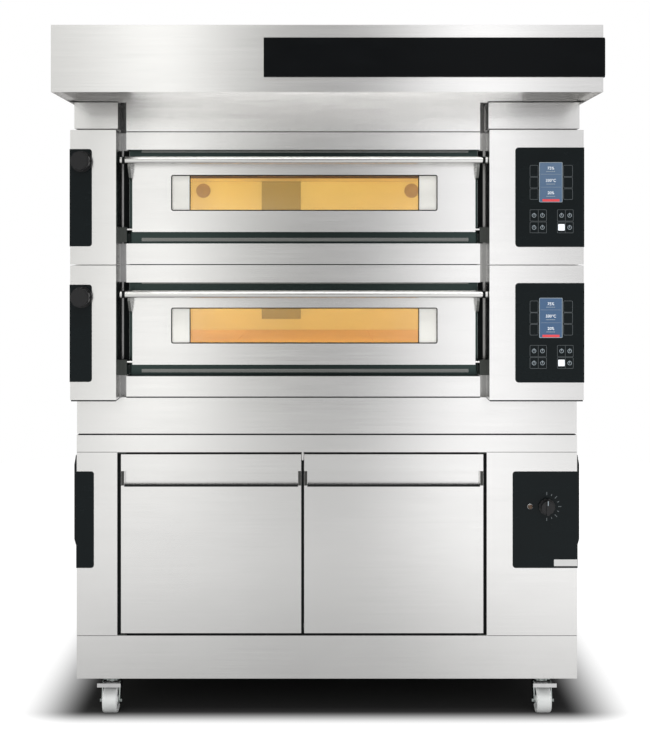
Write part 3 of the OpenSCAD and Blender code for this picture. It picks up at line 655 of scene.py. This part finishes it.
# The keys' and the display's places: X in the frame, Z above the deck's bottom.
SIDE_KEYS_X = ((0.630, 0.656), (0.734, 0.763))
SIDE_KEYS_Z = ((0.274, 0.310), (0.239, 0.273), (0.203, 0.237))
PAIRED_KEYS_X = ((0.630, 0.682), (0.715, 0.765))
PAIRED_KEYS_Z = ((0.136, 0.172), (0.0995, 0.134))
ICONS_X = (0.643, 0.669, 0.7285, 0.7535)
ICONS_Z = (0.154, 0.1165)
LIT_ICON = (ICONS_X[2], ICONS_Z[1])        # a white key stands here in place of an icon
LIT_KEY_X, LIT_KEY_Z = (0.718, 0.738), (0.107, 0.127)
SCREEN_Z = (0.195, 0.319)
DIVIDERS_Z = (0.2815, 0.2415)
READINGS = (("75%", 0.300), ("330°C", 0.262), ("20%", 0.2235))
READING_SIZE = 12.5 * MM
MARKS_Z = (0.2895, 0.2505, 0.2125)
MARKS, MARK_PITCH, MARK_W = 5, 5.6 * MM, 4.6 * MM
RED_BAR_X, RED_BAR_Z = (0.669, 0.722), (0.197, 0.2045)


def add_text(name, words, centre, size, look):
    """A short reading, turned into a thin mesh that faces the front."""
    curve = bpy.data.curves.new(name, "FONT")
    curve.body = words
    curve.size = size
    curve.align_x = curve.align_y = "CENTER"
    curve.extrude = 0.15 * MM
    o = bpy.data.objects.new(name, curve)
    bpy.context.scene.collection.objects.link(o)
    bpy.context.view_layer.update()
    depsgraph = bpy.context.evaluated_depsgraph_get()
    mesh = bpy.data.meshes.new_from_object(o.evaluated_get(depsgraph))
    bpy.data.objects.remove(o)
    for vertex in mesh.vertices:
        x, y, z = vertex.co
        vertex.co = (centre[0] + x, centre[1] - z, centre[2] + y)
    bm = bmesh.new()
    bm.from_mesh(mesh)
    bmesh.ops.remove_doubles(bm, verts=bm.verts, dist=1e-6)
    bpy.data.meshes.remove(mesh)
    make_piece(name, bm, look, "cabinet", smooth=False)


def control_details(d):
    """The printed keys on a deck's black panel, and what its display shows."""
    z0 = deck_bottom[d]
    screen_lo, screen_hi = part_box("display_screens")
    screen_y = screen_lo.y

    bm = bmesh.new()
    for x in SIDE_KEYS_X:
        for z in SIDE_KEYS_Z:
            rect_ring(bm, x, (z0 + z[0], z0 + z[1]), 4 * MM, 0.9 * MM, PRINT_Y)
    for x in PAIRED_KEYS_X:
        for z in PAIRED_KEYS_Z:
            rect_ring(bm, x, (z0 + z[0], z0 + z[1]), 2.5 * MM, 0.8 * MM, PRINT_Y)
            mid = (x[0] + x[1]) / 2
            add_plate(bm, outline((mid - 0.4 * MM, mid + 0.4 * MM), (z0 + z[0], z0 + z[1]),
                                  0.1 * MM), PRINT_Y)
    make_piece(d + "_key_outlines", bm, "outline", "cabinet")

    bm = bmesh.new()
    for iz in ICONS_Z:
        for cx in ICONS_X:
            cz = z0 + iz
            if (cx, iz) == LIT_ICON:
                continue
            add_ring(bm, disc(cx, cz, 6.5 * MM, 24), disc(cx, cz, 5.2 * MM, 24), PRINT_Y)
            add_plate(bm, outline((cx - 0.8 * MM, cx + 0.8 * MM), (cz - 1 * MM, cz + 8 * MM),
                                  0.6 * MM), PRINT_Y)
    make_piece(d + "_key_icons", bm, "print", "cabinet")

    bm = bmesh.new()
    add_plate(bm, outline(LIT_KEY_X, (z0 + LIT_KEY_Z[0], z0 + LIT_KEY_Z[1]), 1.5 * MM), PRINT_Y)
    make_piece(d + "_lit_key", bm, "lit_white", "cabinet")

    face = screen_y - 0.25 * MM
    bm = bmesh.new()
    rect_ring(bm, (screen_lo.x, screen_hi.x), (z0 + SCREEN_Z[0], z0 + SCREEN_Z[1]),
              3 * MM, 1.4 * MM, (screen_y - 0.5 * MM, screen_y + 0.2 * MM))
    for z in DIVIDERS_Z:
        add_plate(bm, outline((screen_lo.x + 5 * MM, screen_hi.x - 5 * MM),
                              (z0 + z, z0 + z + 0.5 * MM), 0.1 * MM),
                  (face, screen_y + 0.2 * MM))
    make_piece(d + "_screen_frame", bm, "print", "cabinet")

    mid = (screen_lo.x + screen_hi.x) / 2
    for i, (words, z) in enumerate(READINGS):
        add_text(f"{d}_reading_{i}", words, (mid, face, z0 + z), READING_SIZE, "lit_white")
    bm = bmesh.new()
    for z in MARKS_Z:
        for k in range(MARKS):
            x = mid + (k - MARKS / 2) * MARK_PITCH
            add_plate(bm, outline((x, x + MARK_W), (z0 + z, z0 + z + 1.6 * MM), 0.3 * MM),
                      (face, screen_y + 0.2 * MM))
    make_piece(d + "_screen_marks", bm, "print", "cabinet")
    bm = bmesh.new()
    add_plate(bm, outline(RED_BAR_X, (z0 + RED_BAR_Z[0], z0 + RED_BAR_Z[1]), 1 * MM),
              (face - 0.1 * MM, screen_y + 0.2 * MM))
    make_piece(d + "_red_bar", bm, "red", "cabinet")


for d in DECKS:
    control_details(d)


# ---------- prover ----------

panel_lo, panel_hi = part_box("prover_control_panel")
knob_lo, knob_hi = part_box("thermostat_knob")
dial = Vector(((knob_lo.x + knob_hi.x) / 2, low("black_inlays").y, (knob_lo.z + knob_hi.z) / 2))
DIAL_TICKS, TICK_STEP = 9, 22.5              # the step in degrees, clockwise from the top
TICK_IN, LONG_TICK, SHORT_TICK = 0.036, 0.046, 0.042
INDICATOR_X = 0.644
LABEL_X0 = 0.720


def prover_panel_details():
    """The dial's ticks, the blank label, the indicator and the knob's pointer."""
    face = middle_y - 1.5 * MM
    y = (face - 0.3 * MM, face + 0.4 * MM)
    bm = bmesh.new()
    for k in range(DIAL_TICKS):
        a = math.radians(k * TICK_STEP)
        outer = LONG_TICK if k % 2 == 0 else SHORT_TICK
        along = (math.sin(a), math.cos(a))
        across = (along[1], -along[0])
        half = 1.0 * MM
        points = [(dial.x + r * along[0] + s * half * across[0],
                   dial.z + r * along[1] + s * half * across[1])
                  for r, s in ((TICK_IN, -1), (TICK_IN, 1), (outer, 1), (outer, -1))]
        add_plate(bm, points, y)
    make_piece("dial_ticks", bm, "outline", "cabinet")

    bm = bmesh.new()
    add_plate(bm, outline((LABEL_X0, panel_hi.x - 1 * MM),
                          (panel_lo.z + 6 * MM, panel_lo.z + 27 * MM), 1 * MM), y)
    make_piece("blank_rating_label", bm, "label", "cabinet")

    bm = bmesh.new()
    turned(bm, [(0, 8.5 * MM), (1.2 * MM, 8.5 * MM), (1.8 * MM, 7.7 * MM), (1.8 * MM, 7.4 * MM),
                (0, 7.4 * MM)], (INDICATOR_X, face, dial.z), (0, -1, 0))
    make_piece("indicator_bezel", bm, "zinc", "cabinet")
    bm = bmesh.new()
    turned(bm, [(0, 7.2 * MM), (1.0 * MM, 7.0 * MM), (2.6 * MM, 5.4 * MM), (3.4 * MM, 2.8 * MM),
                (3.6 * MM, 0)], (INDICATOR_X, panel_lo.y, dial.z), (0, -1, 0))
    make_piece("indicator_lens", bm, "amber", "cabinet")

    # the pointer's print glows faintly, a painted light
    bm = bmesh.new()
    add_plate(bm, outline((dial.x - 1.1 * MM, dial.x + 1.1 * MM),
                          (dial.z + 8 * MM, dial.z + 22 * MM), 1 * MM),
              (knob_lo.y - 0.3 * MM, knob_lo.y + 0.6 * MM))
    make_piece("knob_pointer", bm, "print", "thermostat")


prover_panel_details()


def prover_door_details(side):
    """The pull's grey ends and rubber lip, and the seal on the door's rear."""
    lo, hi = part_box(f"prover_{side}_door")
    body = "prover_door_" + side
    pull_lo, pull_hi = OPENINGS[side + "_door_pull"]
    z0, z1 = pull_lo[2] - 1.5 * MM, pull_hi[2] + 1.5 * MM
    bm = bmesh.new()
    for x in ((lo.x + 0.4 * MM, lo.x + 9.6 * MM), (hi.x - 9.6 * MM, hi.x - 0.4 * MM)):
        add_plate(bm, outline(x, (z0 + 1 * MM, z1 - 1 * MM), 1 * MM),
                  (lo.y - 0.3 * MM, lo.y + 1.2 * MM))
    make_piece(side + "_pull_end_caps", bm, "pull_end", body)

    inner_x = (lo.x + 10 * MM, hi.x - 10 * MM)
    bm = bmesh.new()
    bar(bm, inner_x, (lo.y - 0.3 * MM, lo.y + 1 * MM), (z0 - 2.5 * MM, z0 + 1.4 * MM))
    bar(bm, inner_x, (lo.y + 1 * MM, lo.y + 19.5 * MM), (z0 - 0.3 * MM, z0 + 1.2 * MM))
    make_piece(side + "_pull_grip", bm, "rubber", body)

    bm = bmesh.new()
    seal = outline((lo.x + 0.014, hi.x - 0.014), (lo.z + 0.012, hi.z - 0.012), 0.012, 6)
    inner = outline((lo.x + 0.021, hi.x - 0.021), (lo.z + 0.019, hi.z - 0.019), 0.006, 6)
    back = high(f"prover_{side}_door_liner").y
    add_ring(bm, seal, inner, (back - 0.3 * MM, back + 2.2 * MM))
    make_piece(side + "_prover_door_seal", bm, "rubber", body)


def prover_frame_details():
    """Black rubber round the two doors and in the gap between them, with the catch at its top."""
    left_lo, left_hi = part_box("prover_left_door")
    right_lo, right_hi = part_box("prover_right_door")
    base_top, rail_bottom = high("stand_base").z, low("stand_top_rail").z
    clear = 1.4 * MM
    bm = bmesh.new()
    add_ring(bm, outline((high("stand_left_column").x + 0.3 * MM,
                          low("stand_right_column").x - 0.3 * MM),
                         (base_top + 0.3 * MM, rail_bottom - 0.3 * MM), 0.5 * MM),
             outline((left_lo.x - 2 * MM, right_hi.x + 2 * MM),
                     (left_lo.z - clear, left_hi.z + clear), 0.5 * MM),
             (left_lo.y + 12 * MM, low("prover_liner").y - 0.1 * MM))
    make_piece("prover_frame_seal", bm, "rubber", "cabinet")

    gap = (left_hi.x, right_lo.x)
    bm = bmesh.new()
    add_plate(bm, outline((gap[0] + 0.1 * MM, gap[1] - 2.2 * MM),
                          (left_lo.z + 1 * MM, left_hi.z - 22 * MM), 0.5 * MM),
              (left_lo.y + 5 * MM, left_hi.y - 1 * MM))
    make_piece("middle_seal", bm, "rubber", "prover_door_left")

    middle = (gap[0] + gap[1]) / 2
    bm = bmesh.new()
    add_plate(bm, outline((middle - 2.6 * MM, middle + 2.6 * MM),
                          (left_hi.z - 19 * MM, rail_bottom - 0.5 * MM), 1 * MM),
              (left_lo.y + 3 * MM, left_lo.y + 20 * MM))
    add_screw(bm, (middle, left_lo.y + 3 * MM, left_hi.z - 12 * MM), (0, -1, 0), 0.002)
    make_piece("door_catch", bm, "arm", "cabinet")


for side in ("left", "right"):
    prover_door_details(side)
prover_frame_details()


# ---------- joints of the front ----------

# painted shade round each chamber mouth: where the dark sills and side strips stand
SILL_SHADE_X = (-0.5947, 0.4548)
SILL_SHADES_Z = ((0.074, 0.085), (0.3585, 0.3645))        # above the deck's bottom, as the next one
SIDE_SHADES_X, SIDE_SHADE_Z = ((-0.652, -0.6345), (0.4845, 0.501)), (0.0668, 0.3645)


def front_joints():
    """Dark sealant between the front's units, dark strips under the side housings as painted
    shadow, and dark sills and side strips round each chamber mouth as painted shade.
    """
    left_lo, left_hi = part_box("stand_left_column")
    right_lo, right_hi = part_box("stand_right_column")
    plinth_lo, plinth_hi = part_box("stand_plinth")
    panel_x = (low("front_frames").x + 21 * MM, high("front_frames").x - 21 * MM)
    face = (middle_y - 0.25 * MM, middle_y + 1.5 * MM)
    bm = bmesh.new()
    for z in (high("stand_base").z, low("stand_top_rail").z):
        for x in ((left_lo.x + 1 * MM, left_hi.x - 1 * MM),
                  (right_lo.x + 1 * MM, right_hi.x - 1 * MM)):
            bar(bm, x, face, (z - 0.7 * MM, z + 0.7 * MM))
    bar(bm, panel_x, face, (plinth_hi.z - 1.5 * MM, plinth_hi.z + 2.5 * MM))
    # painted shadow: a dark strip along the plinth under each side housing
    for x in ((low("left_housings").x + 2 * MM, high("left_housings").x - 2 * MM),
              (low("control_housings").x + 2 * MM, high("control_housings").x - 2 * MM)):
        bar(bm, x, (housing_y + 3 * MM, middle_y - 0.5 * MM),
            (plinth_hi.z - 3 * MM, plinth_hi.z + 1.5 * MM))
    neck = 10 * MM
    gap_z = (plinth_lo.z + 0.3 * MM, plinth_lo.z + 4.7 * MM)
    bar(bm, (plinth_lo.x + neck, plinth_hi.x - neck),
        (plinth_lo.y + neck - 1.5 * MM, plinth_lo.y + neck), gap_z)
    for x in (plinth_lo.x + neck - 1.5 * MM, plinth_hi.x - neck):
        bar(bm, (x, x + 1.5 * MM), (plinth_lo.y + neck, plinth_hi.y - neck), gap_z)
    make_piece("front_sealant_and_shadow", bm, "rubber", "cabinet")

    # painted shade: dark sills in the gaps below and above each door
    bm = bmesh.new()
    for d in DECKS:
        for z in SILL_SHADES_Z:
            bar(bm, SILL_SHADE_X, (mouth_y - 2 * MM, mouth_y + 0.5 * MM),
                (deck_bottom[d] + z[0], deck_bottom[d] + z[1]))
    make_piece("mouth_sill_shades", bm, "sill", "cabinet")

    # painted shade: dark strips down both sides of each chamber mouth
    bm = bmesh.new()
    for d in DECKS:
        for x in SIDE_SHADES_X:
            bar(bm, x, (mouth_y - 1.5 * MM, mouth_y + 0.3 * MM),
                (deck_bottom[d] + SIDE_SHADE_Z[0], deck_bottom[d] + SIDE_SHADE_Z[1]))
    make_piece("mouth_side_shades", bm, "rubber", "cabinet")


front_joints()


# ---------- screws, cable glands and castor bolts ----------

PANEL_SCREW_R, COLLAR_SCREW_R = 0.0045, 0.004
COLLAR_SCREWS, COLLAR_CIRCLE_R = 6, 0.087
CASTOR_IN = (0.057, 0.045)                # a castor's middle, from the corner of all the plates
CASTOR_BOLTS = (0.045, 0.033)             # half the bolts' spacing, along X and along Y
GLAND_X, GLAND_UP = 0.700, 0.060


def fixings():
    """Screws of the side, rear and top panels, bolts of the castors, and the cable glands."""
    bm = bmesh.new()
    for d in DECKS:
        lo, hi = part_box(d + "_casing")
        for s in (-1, 1):
            x = lo.x if s < 0 else hi.x
            for z in (lo.z + 0.025, hi.z - 0.025):
                for y in (lo.y + 0.03, (lo.y + hi.y) / 2, hi.y - 0.03):
                    add_screw(bm, (x, y, z), (s, 0, 0), PANEL_SCREW_R)
        for x in (lo.x + 0.03, lo.x / 2, 0, hi.x / 2, hi.x - 0.03):
            for z in (lo.z + 0.022, hi.z - 0.022):
                add_screw(bm, (x, hi.y, z), (0, 1, 0), PANEL_SCREW_R)
    lo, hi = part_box("stand_back_panel")
    for x in (lo.x + 0.025, lo.x / 2, 0, hi.x / 2, hi.x - 0.025):
        for z in (lo.z + 0.04, (lo.z + hi.z) / 2, hi.z - 0.03):
            add_screw(bm, (x, hi.y, z), (0, 1, 0), PANEL_SCREW_R)
    lo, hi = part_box("prover_cowls")
    for s in (-1, 1):
        x = lo.x if s < 0 else hi.x
        for y in (lo.y + 0.035, hi.y - 0.03):
            for z in (lo.z + 0.033, hi.z - 0.033):
                add_screw(bm, (x - s * 2.6 * MM, y, z), (s, 0, 0), PANEL_SCREW_R)
    collar_lo, collar_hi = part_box("hood_collar")
    cx, cy = (collar_lo.x + collar_hi.x) / 2, (collar_lo.y + collar_hi.y) / 2
    for k in range(COLLAR_SCREWS):
        a = math.radians(360 / COLLAR_SCREWS * (k + 0.5))
        add_screw(bm, (cx + COLLAR_CIRCLE_R * math.cos(a), cy + COLLAR_CIRCLE_R * math.sin(a),
                       hood_hi.z + 2 * MM), (0, 0, 1), COLLAR_SCREW_R)
    make_piece("panel_screws", bm, "zinc", "cabinet")

    bm = bmesh.new()
    lo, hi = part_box("castor_plates")
    for fx in (lo.x + CASTOR_IN[0], hi.x - CASTOR_IN[0]):
        for fy in (lo.y + CASTOR_IN[1], hi.y - CASTOR_IN[1]):
            for dx in (-CASTOR_BOLTS[0], CASTOR_BOLTS[0]):
                for dy in (-CASTOR_BOLTS[1], CASTOR_BOLTS[1]):
                    turned(bm, [(0, 6.5 * MM), (2.6 * MM, 6.5 * MM), (3 * MM, 5.8 * MM),
                                (3 * MM, 0)], (fx + dx, fy + dy, hi.z - 4 * MM), (0, 0, -1), 6)
    make_piece("castor_bolts", bm, "zinc", "cabinet")

    bm = bmesh.new()
    for d in DECKS:
        lo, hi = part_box(d + "_casing")
        turned(bm, [(0, 16 * MM), (4 * MM, 16 * MM), (5 * MM, 14 * MM), (10 * MM, 13 * MM),
                    (13 * MM, 9 * MM), (15 * MM, 8 * MM), (15 * MM, 6 * MM), (2 * MM, 5.5 * MM),
                    (2 * MM, 0)], (GLAND_X, hi.y, lo.z + GLAND_UP), (0, 1, 0), 24)
    make_piece("cable_glands", bm, "rubber", "cabinet")


fixings()


# ---------- floor, world and lights ----------

FLOOR_R = 4.6
SHADOW_INSET = 0.03              # the shadow is darkest inside the base, less this
SHADOW_FADE = (0.24, 0.12)       # how far it takes to fade out, along X and along Y


def make_floor():
    """A wide white disc with a dark contact shadow under the prover.

    Its edge melts into the background.
    """
    bm = bmesh.new()
    bmesh.ops.create_circle(bm, cap_ends=True, radius=FLOOR_R, segments=96)
    mesh = bpy.data.meshes.new("floor")
    bm.to_mesh(mesh)
    bm.free()
    floor = bpy.data.objects.new("floor", mesh)
    bpy.context.scene.collection.objects.link(floor)
    s = Shader("floor_paint", Base_Color=(0.90, 0.90, 0.90, 1), Roughness=0.75)
    place = s.add("ShaderNodeTexCoord")
    split = s.add("ShaderNodeSeparateXYZ")
    s.link(place.outputs["Object"], split.inputs[0])
    base_lo, base_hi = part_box("stand_base")
    mid_y = (base_lo.y + base_hi.y) / 2
    from_x = s.maths("SUBTRACT", s.maths("ABSOLUTE", split.outputs["X"], 0),
                     base_hi.x - SHADOW_INSET)
    off_middle = s.maths("ABSOLUTE", s.maths("SUBTRACT", split.outputs["Y"], mid_y), 0)
    from_y = s.maths("SUBTRACT", off_middle, (base_hi.y - base_lo.y) / 2 - SHADOW_INSET)
    squares = [s.maths("POWER", s.maths("DIVIDE", s.maths("MAXIMUM", past, 0), fade), 2)
               for past, fade in zip((from_x, from_y), SHADOW_FADE)]
    away = s.maths("SQRT", s.maths("ADD", *squares), 0)
    lit = s.add("ShaderNodeMapRange", interpolation_type="SMOOTHSTEP")
    s.link(away, lit.inputs["Value"])
    near = s.add("ShaderNodeVectorMath", operation="LENGTH")
    s.link(place.outputs["Object"], near.inputs[0])
    rise = s.add("ShaderNodeMapRange", interpolation_type="SMOOTHSTEP")
    middle = s.add("ShaderNodeMapRange", interpolation_type="SMOOTHSTEP")
    right = s.add("ShaderNodeMapRange", interpolation_type="SMOOTHSTEP")
    for node, source, span in ((rise, near.outputs["Value"], (0.6, 2.8, 0.52, 0.96)),
                               (middle, s.maths("ABSOLUTE", split.outputs["X"], 0),
                                (0.02, 0.75, 0.92, 1.06)),
                               (right, split.outputs["X"], (0.1, 0.8, 1.0, 1.32))):
        s.link(source, node.inputs["Value"])
        for socket, value in zip(("From Min", "From Max", "To Min", "To Max"), span):
            node.inputs[socket].default_value = value
    # painted light and shade: to all rays but the camera's, the floor glows darker near the base
    # and in the middle, and brighter on the right
    path = s.add("ShaderNodeLightPath")
    across = s.maths("MULTIPLY", middle.outputs["Result"], right.outputs["Result"])
    bounced = s.maths("MULTIPLY", rise.outputs["Result"], across)
    strength = s.maths("MAXIMUM", bounced, s.maths("MULTIPLY", path.outputs["Is Camera Ray"], 1.12))
    white = s.add("ShaderNodeEmission")
    s.link(strength, white.inputs["Strength"])
    paper = s.add("ShaderNodeMixShader", in_Fac=0.85)
    s.link(s.bsdf.outputs["BSDF"], paper.inputs[1])
    s.link(white.outputs["Emission"], paper.inputs[2])
    dark = s.add("ShaderNodeBsdfDiffuse", in_Color=(0.045, 0.045, 0.045, 1))
    mix = s.add("ShaderNodeMixShader")
    s.link(lit.outputs["Result"], mix.inputs["Fac"])
    s.link(dark.outputs["BSDF"], mix.inputs[1])
    s.link(paper.outputs["Shader"], mix.inputs[2])
    s.link(mix.outputs["Shader"], s.out.inputs["Surface"])
    mesh.materials.append(s.mat)


# What the steel sees round the room: a bearing in degrees from the camera's side, and how
# bright it is there.
ROOM = ((-180, 0.55), (-150, 0.60), (-135, 0.85), (-112, 0.45), (-75, 0.90), (-45, 0.60),
        (-20, 0.72), (-12, 0.84), (-7.5, 1.60), (-4.5, 0.75), (-1, 0.42), (2, 0.42), (4, 0.85),
        (7, 1.62), (12, 0.82), (20, 0.72), (45, 0.60), (75, 0.90), (112, 0.42), (135, 0.85),
        (150, 0.60), (180, 0.55))
# The share of that brightness at each height, in degrees over the horizon.
LEVELS = ((-90, 1.0), (1.5, 1.0), (2.8, 0.45), (4.6, 0.45), (6, 1.2), (10, 1.03), (90, 1.0))


def make_world():
    """White to the camera; to the metal, bright bands that alternate with grey round the room."""
    world = bpy.data.worlds.new("studio")
    bpy.context.scene.world = world
    world.use_nodes = True
    tree = world.node_tree
    new, link = tree.nodes.new, tree.links.new
    place = new("ShaderNodeTexCoord")
    split = new("ShaderNodeSeparateXYZ")
    link(place.outputs["Generated"], split.inputs[0])
    turn = new("ShaderNodeMath")
    turn.operation = "ARCTAN2"
    flip = new("ShaderNodeMath")
    flip.operation = "MULTIPLY"
    flip.inputs[1].default_value = -1
    link(split.outputs["Y"], flip.inputs[0])
    link(split.outputs["X"], turn.inputs[0])
    link(flip.outputs["Value"], turn.inputs[1])
    to_unit = new("ShaderNodeMapRange")
    to_unit.inputs["From Min"].default_value = -math.pi
    to_unit.inputs["From Max"].default_value = math.pi
    link(turn.outputs["Value"], to_unit.inputs["Value"])

    def ramp(fac, stops):
        node = new("ShaderNodeValToRGB")
        node.color_ramp.interpolation = "EASE"
        elements = node.color_ramp.elements
        while len(elements) < len(stops):
            elements.new(0.5)
        for element, (position, colour) in zip(elements, stops):
            element.position = position
            element.color = (*colour, 1)
        link(fac, node.inputs["Fac"])
        return node.outputs["Color"]

    round_room = ramp(to_unit.outputs["Result"],
                      [((degrees + 180) / 360,
                        (value, value, value * (0.985 if degrees < 0 else 1.01)))
                       for degrees, value in ROOM])
    height = new("ShaderNodeMapRange")
    height.inputs["From Min"].default_value = -1
    link(split.outputs["Z"], height.inputs["Value"])
    level = ramp(height.outputs["Result"],
                 [((math.sin(math.radians(degrees)) + 1) / 2, (value,) * 3)
                  for degrees, value in LEVELS])
    shaded = new("ShaderNodeVectorMath")
    shaded.operation = "MULTIPLY"
    link(round_room, shaded.inputs[0])
    link(level, shaded.inputs[1])
    path = new("ShaderNodeLightPath")
    room = tree.nodes["Background"]
    link(shaded.outputs["Vector"], room.inputs["Color"])
    room.inputs["Strength"].default_value = 1.0
    seen = new("ShaderNodeBackground")
    seen.inputs["Color"].default_value = (1, 1, 1, 1)
    mix = new("ShaderNodeMixShader")
    link(path.outputs["Is Camera Ray"], mix.inputs["Fac"])
    link(room.outputs["Background"], mix.inputs[1])
    link(seen.outputs["Background"], mix.inputs[2])
    link(mix.outputs["Shader"], tree.nodes["World Output"].inputs["Surface"])


def area_light(name, at, aim, size, watts, colour=(1, 1, 1)):
    """A rectangular light at a point, turned towards another."""
    data = bpy.data.lights.new(name, "AREA")
    data.shape = "RECTANGLE"
    data.size, data.size_y = size
    data.energy = watts
    data.color = colour
    o = bpy.data.objects.new(name, data)
    bpy.context.scene.collection.objects.link(o)
    o.location = at
    o.rotation_euler = (Vector(aim) - Vector(at)).to_track_quat("-Z", "Y").to_euler()


LAMPS_X = (-0.484, 0.334)
LAMP_LIGHT = (0.07, 0.46, 0.25)          # X from a lamp's middle, Y, and Z above the deck's bottom
LAMP_WATTS, GLOW_WATTS = 0.12, 1.35
CHAMBER_MID_X = -0.075
CHAMBER_COLOURS = ((1.0, 0.80, 0.31), (1.0, 0.90, 0.47))


def chamber_lights():
    """A warm lamp at each lamp glass, and a long soft one under the ceiling's front edge."""
    for d, colour in zip(DECKS, CHAMBER_COLOURS):
        z0 = deck_bottom[d]
        for x in LAMPS_X:
            data = bpy.data.lights.new(f"{d}_lamp", "POINT")
            data.energy = LAMP_WATTS
            data.color = colour
            data.shadow_soft_size = 0.03
            o = bpy.data.objects.new(data.name, data)
            bpy.context.scene.collection.objects.link(o)
            o.location = (x + LAMP_LIGHT[0], LAMP_LIGHT[1], z0 + LAMP_LIGHT[2])
            o.visible_camera = o.visible_transmission = o.visible_glossy = False
        area_light(f"{d}_glow", (CHAMBER_MID_X, -0.24, z0 + 0.296), (CHAMBER_MID_X, 0.1, z0 + 0.16),
                   (1.1, 0.03), GLOW_WATTS, colour)


make_floor()
make_world()
area_light("overhead", (0, -1.2, 4.6), (0, 0, 1.2), (4.0, 3.0), 110)
area_light("hood_lamp", (0, middle_y - 0.17, hood_lo.z + 0.110), (0, middle_y - 0.10, 1.0),
           (1.3, 0.12), 1.8)
chamber_lights()
bpy.context.scene.view_settings.view_transform = "Standard"
